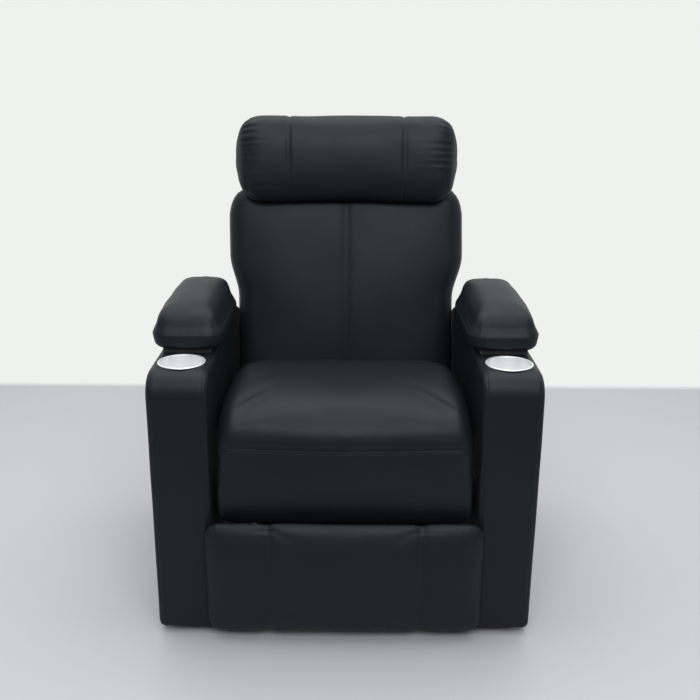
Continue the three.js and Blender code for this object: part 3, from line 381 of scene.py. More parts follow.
def apply_modifiers(piece):
    depsgraph = bpy.context.evaluated_depsgraph_get()
    made = bpy.data.meshes.new_from_object(piece.evaluated_get(depsgraph))
    piece.modifiers.clear()
    old, piece.data = piece.data, made
    bpy.data.meshes.remove(old)
    made.name = piece.name
    smooth(made)


def step(value):
    """Smoothly from 0 to 1."""
    value = np.clip(value, 0, 1)
    return value * value * (3 - 2 * value)


def hump(share):
    return 1 - share * share


def columns(*values):
    """Points from their coordinates."""
    return np.stack(np.broadcast_arrays(*values), 1)


def run_along(line):
    """How far along a line each of its points lies."""
    return np.concatenate([[0], np.cumsum(np.linalg.norm(np.diff(line, axis=0), axis=1))])


SPLINE_STEPS = 40


def spline(points, count=200):
    """A Catmull-Rom line through the points, as `count` + 1 points at even distances, and its length."""
    p = np.array(points, float)
    p = np.vstack([2 * p[0] - p[1], p, 2 * p[-1] - p[-2]])
    t = np.linspace(0, 1, SPLINE_STEPS, endpoint=False)[:, None]
    parts = []
    for a, b, c, d in zip(p, p[1:], p[2:], p[3:]):
        square, cube = 2 * a - 5 * b + 4 * c - d, 3 * b - a - 3 * c + d
        parts.append(0.5 * (2 * b + (c - a) * t + square * t**2 + cube * t**3))
    line = np.vstack([*parts, p[-2:-1]])
    run = run_along(line)
    even = np.linspace(0, run[-1], count + 1)
    return columns(*(np.interp(even, run, values) for values in line.T)), run[-1]


def on_line(line, share):
    """Points of a spline's even line at parts, from 0 to 1, of its length."""
    at = np.clip(share, 0, 1) * (len(line) - 1)
    return columns(*(np.interp(at, np.arange(len(line)), values) for values in line.T))


class Block:
    """The skin of a box as a grid of quads, with lines on its seams. `share` holds its points' places."""

    def __init__(self, size, spacing, seams=((), (), ())):
        self.size = np.array(size, float)
        self.lines = []
        for length, snaps in zip(size, seams):
            line = np.linspace(-1, 1, max(4, round(length / spacing)) + 1)
            for snap in snaps:
                line[np.argmin(abs(line - snap))] = snap
            self.lines.append(line)
        self.lay()

    def lay(self):
        """Numbers the skin's points and makes its faces, from the grid lines."""
        shape = [len(line) for line in self.lines]
        index = np.indices(shape)
        last = np.array(shape).reshape(3, 1, 1, 1) - 1
        skin = ((index == 0) | (index == last)).any(0)
        self.number = np.full(shape, -1)
        self.number[skin] = np.arange(skin.sum())
        self.index = np.stack([index[axis][skin] for axis in range(3)], 1)
        self.share = np.stack([self.lines[axis][self.index[:, axis]] for axis in range(3)], 1)
        faces = []
        for axis in range(3):
            for end in (0, -1):
                sheet = np.take(self.number, end, axis)
                quads = np.stack([sheet[:-1, :-1], sheet[1:, :-1], sheet[1:, 1:], sheet[:-1, 1:]], -1)
                quads = quads.reshape(-1, 4)
                outward = (axis == 1) == (end == 0)
                faces.append(quads if outward else quads[:, ::-1])
        self.faces = np.vstack(faces)

    def rounded(self, radii):
        """Each point in millimetres from the box's middle, with the box's edges rounded."""
        radii = np.array(radii, float)
        raw = self.share * self.size / 2
        core = np.clip(raw, -(self.size / 2 - radii), self.size / 2 - radii)
        rim = (raw - core) / radii
        length = np.maximum(np.linalg.norm(rim, axis=1), 1e-9)[:, None]
        return core + rim / length * radii

    def near(self, axis, share):
        """The points on the grid line nearest to a share of one axis."""
        return self.index[:, axis] == np.argmin(abs(self.lines[axis] - share))


def groove(distance, width):
    """A seam's valley: 1 on the seam, and 0 beyond its width."""
    return np.exp(-(distance / width) ** 2)


def at_spots(spots, reach):
    """A weight for points: 1 at the spots, and 0 beyond their reach, all in millimetres."""
    spots = np.array(spots) * MM
    return lambda points: sum(groove(np.linalg.norm(points - spot, axis=1), reach * MM) for spot in spots)


def coords(mesh):
    points = np.empty(len(mesh.vertices) * 3)
    mesh.vertices.foreach_get("co", points)
    return points.reshape(-1, 3)


def set_coords(mesh, points):
    mesh.vertices.foreach_set("co", np.ascontiguousarray(points, float).ravel())
    mesh.update()


def normals_of(mesh):
    normals = np.empty(len(mesh.vertices) * 3)
    mesh.vertex_normals.foreach_get("vector", normals)
    return normals.reshape(-1, 3)


PATH_STEP, PATH_REACH, PATH_CHUNK = 0.002, 0.09, 2000


def along_path(points, path):
    """For each point, its distance from a path of points, and how far along the path that is, in metres."""
    path = np.asarray(path)
    run = run_along(path)
    dense_run = np.arange(0, run[-1], PATH_STEP)
    dense = columns(*(np.interp(dense_run, run, values) for values in path.T))
    distance = np.full(len(points), 1e9)
    nearest = np.zeros(len(points))
    low, high = dense.min(0) - PATH_REACH, dense.max(0) + PATH_REACH
    close = np.flatnonzero(((points > low) & (points < high)).all(1))
    for chunk in np.array_split(close, max(1, len(close) // PATH_CHUNK)):
        apart = np.linalg.norm(points[chunk, None] - dense[None], axis=2)
        best = apart.argmin(1)
        distance[chunk] = apart[np.arange(len(chunk)), best]
        nearest[chunk] = dense_run[best]
    return distance, nearest


WAVE_STEPS = (1, 2.17, 3.71, 5.93)


def wavy(value, seed):
    """A smooth random wave of a single number, between about -1 and 1."""
    phases = np.random.default_rng(seed).uniform(0, 2 * math.pi, len(WAVE_STEPS))
    waves = enumerate(zip(WAVE_STEPS, phases), 1)
    return sum(np.sin(value * k + phase) / i for i, (k, phase) in waves) / 1.6


FILL_FRAMES = 20
CLOTH_STIFFNESS = {"tension": 15, "compression": 15, "shear": 5}
CLOTH_BENDING = 0.5


class Cover:
    """A soft piece's cover: it is filled out, made finer, then sewn and creased."""

    def __init__(self, name, points, block=None, faces=None):
        self.block = block
        self.piece = mesh_piece(name, points * MM, block.faces if faces is None else faces, LEATHER)
        self.paths = {}

    def fill(self, held, pressure, cap, stiffness=1):
        """Cloth under pressure: the cover fills out, held points stay, and moves stay short of the cap."""
        piece = self.piece
        rest = coords(piece.data)
        group = piece.vertex_groups.new(name="held")
        group.add([int(i) for i in np.flatnonzero(held)], 1.0, "REPLACE")
        cloth = piece.modifiers.new("fill", "CLOTH")
        settings = cloth.settings
        settings.quality = 5
        settings.mass = 0.3
        settings.use_pressure = True
        settings.uniform_pressure_force = pressure
        for name, value in CLOTH_STIFFNESS.items():
            setattr(settings, f"{name}_stiffness", value * stiffness)
        settings.bending_stiffness = CLOTH_BENDING * stiffness**2
        settings.vertex_group_mass = "held"
        settings.effector_weights.gravity = 0
        cloth.point_cache.frame_start = 1
        cloth.point_cache.frame_end = FILL_FRAMES
        for number in range(1, FILL_FRAMES + 1):
            scene.frame_set(number)
        depsgraph = bpy.context.evaluated_depsgraph_get()
        move = coords(piece.evaluated_get(depsgraph).data) - rest
        piece.modifiers.remove(cloth)
        piece.vertex_groups.remove(group)
        scene.frame_set(1)
        length = np.maximum(np.linalg.norm(move, axis=1), 1e-12)[:, None]
        set_coords(piece.data, rest + move * np.tanh(length / (cap * MM)) * cap * MM / length)

    def mark(self, name, axis, share, keep=None):
        """Names the seam that runs along a grid line, kept where keep(share) is true."""
        block = self.block
        line = np.argmin(abs(block.lines[axis] - share))
        sheet = np.take(block.number, line, axis)
        rim = np.concatenate([sheet[:, 0], sheet[-1, 1:], sheet[-2::-1, -1], sheet[0, -2:0:-1]])
        if keep is None:
            rim = np.append(rim, rim[0])
        else:
            wanted = keep(block.share[rim])
            first = np.flatnonzero(wanted & ~np.roll(wanted, 1))
            rim = np.roll(rim, -first[0]) if len(first) else rim
            rim = rim[keep(block.share[rim])]
        self.paths[name] = coords(self.piece.data)[rim]

    def refine(self):
        """Catmull-Clark subdivision, written into the mesh; seam paths then lie on the finer surface."""
        modifier = self.piece.modifiers.new("subdivide", "SUBSURF")
        modifier.levels = modifier.render_levels = 1
        apply_modifiers(self.piece)
        tree = BVHTree.FromObject(self.piece, bpy.context.evaluated_depsgraph_get())
        for name, path in self.paths.items():
            self.paths[name] = np.array([tree.find_nearest(Vector(p))[0] for p in path])

    def push(self, amount):
        """Moves each point along its normal by an amount in millimetres."""
        mesh = self.piece.data
        set_coords(mesh, coords(mesh) + normals_of(mesh) * (np.asarray(amount) * MM)[:, None])

    def sew(self, name, depth, width, lift=0.0, lift_width=12, fade=None):
        """A sewn seam: a narrow valley, with the cover swelling a little beside it."""
        points = coords(self.piece.data)
        distance = along_path(points, self.paths[name])[0]
        swell = groove(distance - lift_width * MM, lift_width * MM / 2)
        amount = -depth * groove(distance, width * MM) + lift * swell
        self.push(amount if fade is None else amount * fade(points))

    def gather(self, name, pitch, depth, reach, seed, where=None):
        """Folds that run away from a seam, with uneven pitch and depth."""
        points = coords(self.piece.data)
        distance, run = along_path(points, self.paths[name])
        turn = run / (pitch * MM) * math.pi
        turn = turn + 1.1 * wavy(run / (pitch * MM) * 0.9, seed)
        fold = np.abs(np.sin(turn)) - 0.6
        strength = 0.55 + 0.45 * wavy(run / (pitch * MM) * 0.45, seed + 1)
        amount = depth * fold * strength * np.exp(-distance / (reach * MM))
        self.push(amount if where is None else amount * where(points))

    def soften(self, amount, size, seed):
        """Slow unevenness, as padding under leather has."""
        offset = Vector((seed * 3.1, seed * 1.7, seed * 2.3))
        values = [noise.noise(Vector(p) / (size * MM) + offset) for p in coords(self.piece.data)]
        self.push(amount * np.array(values))

    def done(self, body, *replaced, fill=0.7):
        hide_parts(*replaced)
        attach(self.piece, body)


# Sewing thread: each stitch is a small rounded bar lying on the cover
STITCH_PITCH, STITCH_LENGTH = 5.4, 3.9
STITCH_RADIUS, STITCH_SIDES = 0.42, 6
STITCH_LIFT = 0.12
STITCH_RINGS = ((0, 0.35), (0.25, 1), (0.75, 1), (1, 0.35))


def add_stitch(points, faces, start, end, normal):
    across = (end - start).normalized().cross(normal).normalized()
    first = len(points)
    for share, width in STITCH_RINGS:
        middle = start.lerp(end, share)
        reach = STITCH_RADIUS * MM * width
        points.extend(middle + (across * cos + normal * sin) * reach for cos, sin in circle(STITCH_SIDES))
    faces.extend(face[::-1] for face in tube_faces(len(STITCH_RINGS), STITCH_SIDES, first))


def stitches(name, cover, rows, body):
    """Rows of stitches beside seams; a row is (seam name, sideways offset in millimetres)."""
    tree = BVHTree.FromObject(cover.piece, bpy.context.evaluated_depsgraph_get())
    points, faces = [], []
    for seam, offset in rows:
        path = cover.paths[seam]
        run = run_along(path)
        for start in np.arange(STITCH_PITCH, run[-1] / MM - STITCH_PITCH, STITCH_PITCH):
            ends = [
                Vector([np.interp((start + extra) * MM, run, values) for values in path.T])
                for extra in (0, STITCH_LENGTH)
            ]
            heading = (ends[1] - ends[0]).normalized()
            normal = tree.find_nearest((ends[0] + ends[1]) / 2)[1]
            aside = normal.cross(heading).normalized() * offset * MM
            seated = [tree.find_nearest(end + aside)[0] + normal * STITCH_LIFT * MM for end in ends]
            add_stitch(points, faces, *seated, normal)
    piece = mesh_piece(name, points, faces, THREAD)
    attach(piece, body)


def leaned(points):
    """Points of the back, from its own upright frame at the recline hinge, in the row's frame."""
    out, back, up = np.asarray(points, float).T
    cos, sin = math.cos(BACK_LEAN), math.sin(BACK_LEAN)
    hinge = RECLINE / MM
    return columns(out, hinge.y + back * cos + up * sin, hinge.z - back * sin + up * cos)


def in_row(points):
    """Points given from the arms' fronts, in the row's frame."""
    return points + np.array([0, ARM_FRONT / MM, 0])


# Seat cushion: its section runs over the top and down the front, and its underside follows within
SEAT_WIDTH, SEAT_THICKNESS = 538, 150
SEAT_SEAM_UP, SEAT_SEAM_CURVE, SEAT_CURVE_REACH = 446, 11, 70
SEAT_SECOND_SEAM = 10
SEAT_BOTTOM_UP = 326
APRON_BOTTOM_UP, APRON_DEPTH = 258, 46
SEAT_EDGE = (38, 24, 38)
SEAT_SPACING = 10
SEAT_SIDE_FALL = 12
SEAT_SECTION = (
    (460, 488), (315, 522), (150, 534), (63, 521), (14, 494), (0, SEAT_SEAM_UP), (2, 371), (9, 305),
    (22, APRON_BOTTOM_UP),
)
SEAT_UNDERSIDE = (
    (494, SEAT_BOTTOM_UP), (315, SEAT_BOTTOM_UP), (150, SEAT_BOTTOM_UP), (62, SEAT_BOTTOM_UP),
    (50, SEAT_BOTTOM_UP - 4), (APRON_DEPTH, SEAT_BOTTOM_UP - 16), (APRON_DEPTH, 274), (44, APRON_BOTTOM_UP),
)


def make_seat():
    outer, length = spline(SEAT_SECTION)
    inner, _ = spline(SEAT_UNDERSIDE)
    front = np.arange(len(outer)) > len(outer) / 2
    seam_run = np.flatnonzero(front & (outer[:, 1] < SEAT_SEAM_UP))[0] / (len(outer) - 1)
    seam = 2 * seam_run - 1
    below = seam + 2 * SEAT_SECOND_SEAM / length
    block = Block((SEAT_WIDTH, length, SEAT_THICKNESS), SEAT_SPACING, ((), (seam, below), ()))
    x, y, z = block.rounded(SEAT_EDGE).T
    share_x, share_y, share_z = block.share.T
    bend = groove((share_y - seam) * length / 2, SEAT_CURVE_REACH) * (hump(share_x) - 0.5)
    run = y / length + 0.5 + bend * SEAT_SEAM_CURVE / length
    low, high = on_line(inner, run), on_line(outer, run)
    back, up = (low + (high - low) * np.clip(z / SEAT_THICKNESS + 0.5, 0, 1)[:, None]).T
    drop = np.maximum(0, share_z) * SEAT_SIDE_FALL * share_x ** 4 * step((1 - run) * 2)
    cover = Cover("seat_cover", in_row(columns(x, back, up - drop)), block)
    cover.piece.data.flip_normals()
    held = (share_z < 0.2) | (abs(share_y) > 0.97) | (abs(share_x) > 0.99)
    cover.fill(held | block.near(1, seam) & (share_z > 0.9), pressure=1.6, cap=22)
    for name, share in (("front_seam", seam), ("front_row", below)):
        cover.mark(name, 1, share, lambda s: s[:, 2] > 0.99)
    cover.refine()
    cover.soften(1.6, size=120, seed=1)
    cover.sew("front_seam", depth=3.4, width=3.4, lift=0.8)
    half = SEAT_WIDTH / 2 * MM
    cover.sew("front_row", depth=1.0, width=2.0, fade=lambda p: hump(np.clip(p[:, 0] / half, -1, 1)))
    stitches("seat_stitches", cover, [("front_seam", 3.2), ("front_row", 0)], "seat")
    cover.done("seat", "seat_cushion", fill=0.75)


# Stiff black strip sewn under the seat's apron: a dark sheet that closes the view over the shut footrest, put
# there as painted shade for that gap
STRIP_SIZE = (380, 3, 32)
STRIP_BACK, STRIP_LOW = 36, 231
STRIP_SPACING, STRIP_EDGE = 3, (1.4, 1.4, 1.4)
STRIP_RIB, STRIP_RIB_UP, STRIP_RIB_WIDTH = 1.2, 6, 2.5


def make_apron_shade_strip():
    block = Block(STRIP_SIZE, STRIP_SPACING)
    x, y, z = block.rounded(STRIP_EDGE).T
    up = z + STRIP_SIZE[2] / 2
    rib = STRIP_RIB * groove(up - STRIP_RIB_UP, STRIP_RIB_WIDTH) * np.sign(block.share[:, 1])
    points = in_row(columns(x, STRIP_BACK + y + rib, STRIP_LOW + up))
    # The strip's black plastic is painted shade in the gap between the seat's apron and the shut footrest
    piece = mesh_piece("apron_shade_strip", points * MM, block.faces, PLASTIC)
    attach(piece, "seat")


# Back cushion, in the back's own frame
BACK_LOW, BACK_HIGH = 45, 603
BACK_DEPTH = 90
BACK_WIDTH_LOW, BACK_WIDTH_WING = 546, 592
BACK_WAIST, BACK_WING, BACK_SHOULDER = 325, 430, 530
BACK_SHOULDER_DRAW = 14
BACK_EDGE = (40, 40, 40)
BACK_SPACING = 10
BACK_BOXING_SHARE = -0.42
BACK_CROWN = 18
BACK_CORNERS = [[side * 262, -60, BACK_HIGH - 8] for side in (-1, 1)]


def make_back():
    size = (BACK_WIDTH_LOW, BACK_DEPTH, BACK_HIGH - BACK_LOW)
    block = Block(size, BACK_SPACING, ((0,), (BACK_BOXING_SHARE,), ()))
    x, y, z = block.rounded(BACK_EDGE).T
    share_x, share_y, share_z = block.share.T
    up = (BACK_HIGH + BACK_LOW) / 2 + z
    wing = step((up - BACK_WAIST) / (BACK_WING - BACK_WAIST))
    top = step((up - BACK_SHOULDER) / (BACK_HIGH - BACK_SHOULDER))
    half = BACK_WIDTH_LOW / 2 + wing * (BACK_WIDTH_WING - BACK_WIDTH_LOW) / 2 - top * BACK_SHOULDER_DRAW
    crown = np.maximum(0, -share_y) * BACK_CROWN * hump(share_x) * hump(share_z)
    points = columns(x * half / (BACK_WIDTH_LOW / 2), -BACK_DEPTH / 2 + y - crown, up)
    cover = Cover("back_cover", leaned(points), block)
    held = (share_y > 0.5) | (share_z < -0.97) | block.near(0, 0)
    held |= block.near(1, BACK_BOXING_SHARE) & (np.maximum(abs(share_x), abs(share_z)) > 0.99)
    cover.fill(held, pressure=1.4, cap=22, stiffness=5)
    cover.mark("middle", 0, 0, lambda s: (s[:, 1] < -0.5) & (s[:, 2] < 0.9))
    cover.mark("boxing", 1, BACK_BOXING_SHARE)
    cover.refine()
    cover.soften(2.0, size=140, seed=2)
    cover.sew("middle", depth=3.2, width=16)
    cover.sew("middle", depth=2.2, width=3.2, lift=0.3, lift_width=14)
    cover.sew("boxing", depth=1.8, width=2.4, lift=0.5)
    at_corners = at_spots(leaned(BACK_CORNERS), 50)
    cover.gather("boxing", pitch=13, depth=3.6, reach=20, seed=5, where=at_corners)
    stitches("back_stitches", cover, [("middle", -3.6), ("middle", 3.6)], "back")
    cover.done("back", "back_cushion")


# Headrest, in the back's own frame. Its outline is in parts of its depth and height
HEAD_WIDTH = 542
HEAD_FRONT, HEAD_REAR = 150, 20
HEAD_LOW, HEAD_HIGH = 557, 772
HEAD_SEAM = 141
HEAD_SPACING = 9
HEAD_END_SHARE = 0.9
HEAD_END, HEAD_END_FALL = 62, 0.6
HEAD_HEART, HEAD_LIP, HEAD_GAP = 0.56, 10, 7
HEAD_CAP_RINGS, HEAD_CAP_BULGE = 8, 5


def head_outline():
    depth, height = HEAD_FRONT - HEAD_REAR, HEAD_HIGH - HEAD_LOW

    def at(*parts):
        return [(-HEAD_FRONT + back * depth, HEAD_LOW + up * height) for back, up in parts]

    lip = -BACK_DEPTH - HEAD_LIP
    return spline([
        *at((1, 0.5), (0.98, 0.86), (0.72, 0.98), (0.42, 1), (0.12, 0.93), (0.01, 0.76), (0, 0.5)),
        *at((0.05, 0.22), (0.2, 0.04), (0.32, 0.01)),
        (lip, HEAD_LOW + 0.12 * height), (lip + HEAD_GAP, BACK_HIGH + HEAD_GAP),
        *at((0.7, 0.255), (0.96, 0.29), (1, 0.5)),
    ])


def end_cap(rim, sign):
    """Rings that shrink from a rim toward its middle and bulge outward."""
    middle = rim.mean(0)
    left = 1 - np.arange(1, HEAD_CAP_RINGS) / HEAD_CAP_RINGS
    return [middle + (rim - middle) * size + (sign * HEAD_CAP_BULGE * hump(size), 0, 0) for size in left]


def make_headrest():
    half = HEAD_WIDTH / 2
    outline, around = head_outline()
    seams = {"left_seam": -HEAD_SEAM / half, "right_seam": HEAD_SEAM / half}
    ends = {"left_end": -HEAD_END_SHARE, "right_end": HEAD_END_SHARE}
    stations = np.linspace(-1, 1, round(HEAD_WIDTH / HEAD_SPACING) + 1)
    for seam in seams.values():
        stations[np.argmin(abs(stations - seam))] = seam
    sides = round(around / HEAD_SPACING)
    heart = np.array([-(HEAD_FRONT + HEAD_REAR) / 2, HEAD_LOW + HEAD_HEART * (HEAD_HIGH - HEAD_LOW)])
    ring = on_line(outline, np.arange(sides) / sides)
    rings = []
    for station in stations:
        inset = max(0, HEAD_END - (1 - abs(station)) * half)
        swell = math.sqrt(max(0, HEAD_END**2 - inset**2)) / HEAD_END
        scale = 1 - (1 - swell) * HEAD_END_FALL
        rings.append(columns(station * half, *(heart + (ring - heart) * scale).T))
    rings = [*reversed(end_cap(rings[0], -1)), *rings, *end_cap(rings[-1], 1)]
    points = np.vstack([*rings, rings[0].mean(0), rings[-1].mean(0)])
    tip = len(points) - 2
    faces = tube_faces(len(rings), sides, capped=False)
    for side in range(sides):
        after = (side + 1) % sides
        faces += [(tip, after, side), (tip + 1, tip - sides + side, tip - sides + after)]
    cover = Cover("headrest_cover", leaned(points), faces=faces)
    face_out(cover.piece.data)

    def ring_at(share):
        station = np.argmin(abs(stations - share)) + HEAD_CAP_RINGS - 1
        return station * sides + np.arange(sides)

    held = points[:, 1] > -HEAD_REAR - 3
    for seam in seams.values():
        held[ring_at(seam)] = True
    cover.fill(held, pressure=10, cap=12)
    body = coords(cover.piece.data)
    for name, share in (seams | ends).items():
        ring = ring_at(share)
        cover.paths[name] = body[[*ring, ring[0]]]
    cover.refine()
    cover.soften(2.0, size=110, seed=3)
    for name in seams:
        cover.sew(name, depth=2.4, width=4.0, lift=0.4)
    for name, pitch, seed in (("left_end", 15, 7), ("right_end", 14, 9)):
        cover.gather(name, pitch=pitch, depth=6, reach=24, seed=seed)
    for name in ends:
        cover.sew(name, depth=1.5, width=2.4)
    stitches("headrest_stitches", cover, [("left_seam", 3.4), ("right_seam", -3.4)], "back")
    cover.done("back", "headrest_pillow", fill=0.8)


# Footrest cushion
FOOT_WIDTH = 592
FOOT_LOW, FOOT_HIGH = 20, 280
FOOT_FRONT, FOOT_REAR = 48, 2
FOOT_CROWN = 22
FOOT_CORNER, FOOT_EDGE_PART = 34, 0.48
FOOT_SEAM, FOOT_SPACING = 163, 9
FOOT_BOXING_SHARE = 0.35
FOOT_CORNERS = np.array([[side * 272, -30, 262] for side in (-1, 1)])
FOOT_FOLDS_UP, FOOT_FOLDS_RUN = 150, 90


def make_footrest():
    depth = FOOT_FRONT - FOOT_REAR - FOOT_CROWN
    seams = {"left_seam": -FOOT_SEAM / (FOOT_WIDTH / 2), "right_seam": FOOT_SEAM / (FOOT_WIDTH / 2)}
    block = Block((FOOT_WIDTH, depth, FOOT_HIGH - FOOT_LOW), FOOT_SPACING, (seams.values(), (), ()))
    x, y, z = block.rounded((FOOT_CORNER, depth * FOOT_EDGE_PART, FOOT_CORNER)).T
    share_x, share_y, share_z = block.share.T
    crown = np.maximum(0, -share_y) * FOOT_CROWN * (1 - share_x ** 6) * hump(share_z)
    points = columns(x, -FOOT_REAR - depth / 2 + y - crown, (FOOT_HIGH + FOOT_LOW) / 2 + z)
    cover = Cover("footrest_cover", in_row(points), block)
    held = share_y > 0.4
    for seam in seams.values():
        held |= block.near(0, seam) & (share_y < 0)
    cover.fill(held, pressure=5, cap=10)
    for name, seam in seams.items():
        cover.mark(name, 0, seam, lambda s: s[:, 1] < 0.2)
    cover.mark("boxing", 1, FOOT_BOXING_SHARE)
    cover.refine()
    cover.soften(1.8, size=110, seed=4)
    for name in seams:
        cover.sew(name, depth=4.5, width=14)
        cover.sew(name, depth=2.6, width=3.4, lift=0.4)

    def at_top(points):
        return step((points[:, 2] / MM - FOOT_FOLDS_UP) / FOOT_FOLDS_RUN)

    cover.gather("boxing", pitch=13, depth=5, reach=30, seed=11, where=at_spots(in_row(FOOT_CORNERS), 55))
    cover.gather("left_seam", pitch=19, depth=4, reach=20, seed=13, where=at_top)
    cover.gather("right_seam", pitch=17, depth=5, reach=24, seed=15, where=at_top)
    stitches("footrest_stitches", cover, [("left_seam", 3.4), ("right_seam", -3.4)], "footrest")
    cover.done("footrest", "footrest_cushion", fill=0.75)


# Arm pads: a boxed side and a dome on it, lower toward both ends
PAD_HALF = 70
PAD_BACK, PAD_LENGTH = 135, 365
PAD_BOXING, PAD_RISE = 44, 46
PAD_EDGE = (36, 36, 4)
PAD_FULLNESS = 3.4
PAD_FLARE = 7
PAD_FRONT_RUN, PAD_REAR_RUN = 70, 60
PAD_SAG, PAD_PEAK = 4, 380
PAD_INNER_EXTRA, PAD_REAR_DRAW = 8, 15
PAD_SPACING = 8


def make_pad(side, sign):
    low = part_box(f"lid_pad_{side}")[0].z / MM
    block = Block((2 * PAD_HALF, PAD_LENGTH, PAD_BOXING), PAD_SPACING)
    x, y, z = block.rounded(PAD_EDGE).T
    share_x, share_y, share_z = block.share.T
    from_front = (share_y + 1) / 2 * PAD_LENGTH

    def swell(from_end, run):
        return np.sqrt(hump(1 - np.minimum(1, from_end / run)))

    ends = swell(from_front, PAD_FRONT_RUN) * swell(PAD_LENGTH - from_front, PAD_REAR_RUN)
    sag = PAD_SAG * ((from_front + PAD_BACK - PAD_PEAK) / (PAD_LENGTH / 2)) ** 2
    dome = np.maximum(0, share_z) * np.sqrt(1 - abs(share_x) ** PAD_FULLNESS) * ends * (PAD_RISE - sag)
    drawn = np.maximum(0, -x) / PAD_HALF * (step((share_y - 0.5) * 2) * PAD_REAR_DRAW - PAD_INNER_EXTRA)
    flare = PAD_FLARE * (share_z + 1) / 2 * np.maximum(0, share_x)
    out = ARM_MID / MM + x + drawn + flare
    points = columns(sign * out, PAD_BACK + PAD_LENGTH / 2 + y, low + PAD_BOXING / 2 + z + dome)
    cover = Cover(f"pad_cover_{side}", in_row(points), block)
    if sign < 0:
        cover.piece.data.flip_normals()
    seam = block.lines[2][-2]
    cover.fill(share_z < seam + 0.1, pressure=14, cap=8)
    cover.mark("seam", 2, seam)
    cover.refine()
    cover.soften(1.6, size=90, seed=6 + sign)
    cover.sew("seam", depth=1.4, width=2.4, lift=0.4)
    cover.gather("seam", pitch=17, depth=1.6, reach=18, seed=20 + sign)
    stitches(f"pad_stitches_{side}", cover, [("seam", -3.2)], f"lid_{side}")
    cover.done(f"lid_{side}", f"lid_pad_{side}")


# Power lead: out of the supply, down to the floor, and into a coil behind the seat
LEAD_RADIUS, LEAD_FLOOR = 3.5, 3.7
LEAD_POINTS = (
    (-180, 676.9, 76.3), (-180, 688, 76.3), (-180, 699, 74.2), (-180, 709, 68.4), (-179.6, 717, 59.2),
    (-178.6, 723, 47.6), (-176.6, 728.6, 35.6), (-172.6, 734.6, 24), (-165.4, 741, 14.2),
    (-154.6, 747.2, 7.4), (-141, 752.4, 4.3), (-125, 756.6, 3.7), (-107, 759.2, 3.7), (-88, 760, 3.7),
)
COIL_OUT, COIL_BACK = -60, 708
COIL_RADIUS, COIL_PITCH, COIL_TURNS = 52, 7.5, 6.5
COIL_LEAD_IN, PLUG_REACH = 7, 52
COIL_STEPS = 24


def coil_point(part):
    """A point of the coil, at a part from 0 to 1 of its run."""
    around = 2 * math.pi * COIL_RADIUS
    path = part * (COIL_TURNS * around + COIL_LEAD_IN + PLUG_REACH) - COIL_LEAD_IN
    held = min(COIL_TURNS, max(0, path / around))
    beyond = path - held * around
    radius = COIL_RADIUS - COIL_PITCH * min(held, COIL_TURNS - held)
    climb = float(step((held - COIL_TURNS / 2) / 0.5 + 0.5))
    angle = math.pi / 2 - held * 2 * math.pi
    return (
        COIL_OUT + radius * math.cos(angle) - abs(beyond),
        COIL_BACK + radius * math.sin(angle),
        LEAD_FLOOR + climb * COIL_PITCH,
    )


def make_cord():
    count = round(COIL_STEPS * COIL_TURNS)
    points = [place(*p) for p in (*LEAD_POINTS, *(coil_point(i / count) for i in range(count + 1)))]
    curve = bpy.data.curves.new("power_cord", "CURVE")
    curve.dimensions = "3D"
    curve.bevel_depth = LEAD_RADIUS * MM
    curve.bevel_resolution = 4
    curve.resolution_u = 3
    curve.use_fill_caps = True
    line = curve.splines.new("BEZIER")
    line.bezier_points.add(len(points) - 1)
    for knot, point in zip(line.bezier_points, points):
        knot.co = point
        knot.handle_left_type = knot.handle_right_type = "AUTO"
    curve.materials.append(RUBBER)
    cord = add_object("power_cord", curve)
    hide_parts("power_lead", "power_lead_coil")
    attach(cord, "base")
    return cord


def turned(name, middle, profile, sides, material, along_y=False):
    """A turned piece, upright or along y: its profile points are (radius, distance along the axis)."""
    points = []
    for radius, along in profile:
        for cos, sin in circle(sides):
            ring = (radius * sin, along, radius * cos) if along_y else (radius * cos, radius * sin, along)
            points.append(Vector(middle) + Vector(ring) * MM)
    return mesh_piece(name, points, tube_faces(len(profile), sides), material)


RELIEF_LENGTH, RELIEF_RADIUS, RELIEF_TIP = 32, 7, 4.6
RELIEF_RINGS, RELIEF_SIDES = 5, 32


def make_relief():
    low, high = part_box("strain_relief")
    middle = Vector(((low.x + high.x) / 2, low.y, (low.z + high.z) / 2))
    profile = [(RELIEF_RADIUS - 0.6, 0), (RELIEF_RADIUS, 0.6), (RELIEF_RADIUS, 3.4)]
    length = (RELIEF_LENGTH - 5) / RELIEF_RINGS
    for ring in range(RELIEF_RINGS):
        start = 4 + ring * length
        radius = RELIEF_RADIUS + (RELIEF_TIP - RELIEF_RADIUS) * (start + length / 2) / RELIEF_LENGTH
        profile += [(radius - 1.1, start), (radius - 1.1, start + 1.6)]
        profile += [(radius, start + 2.1), (radius, start + length - 0.5)]
    profile += [(RELIEF_TIP, RELIEF_LENGTH - 0.5), (RELIEF_TIP - 0.5, RELIEF_LENGTH)]
    relief = turned("lead_relief", middle, profile, RELIEF_SIDES, RUBBER, along_y=True)
    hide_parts("strain_relief")
    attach(relief, "base")
    return relief


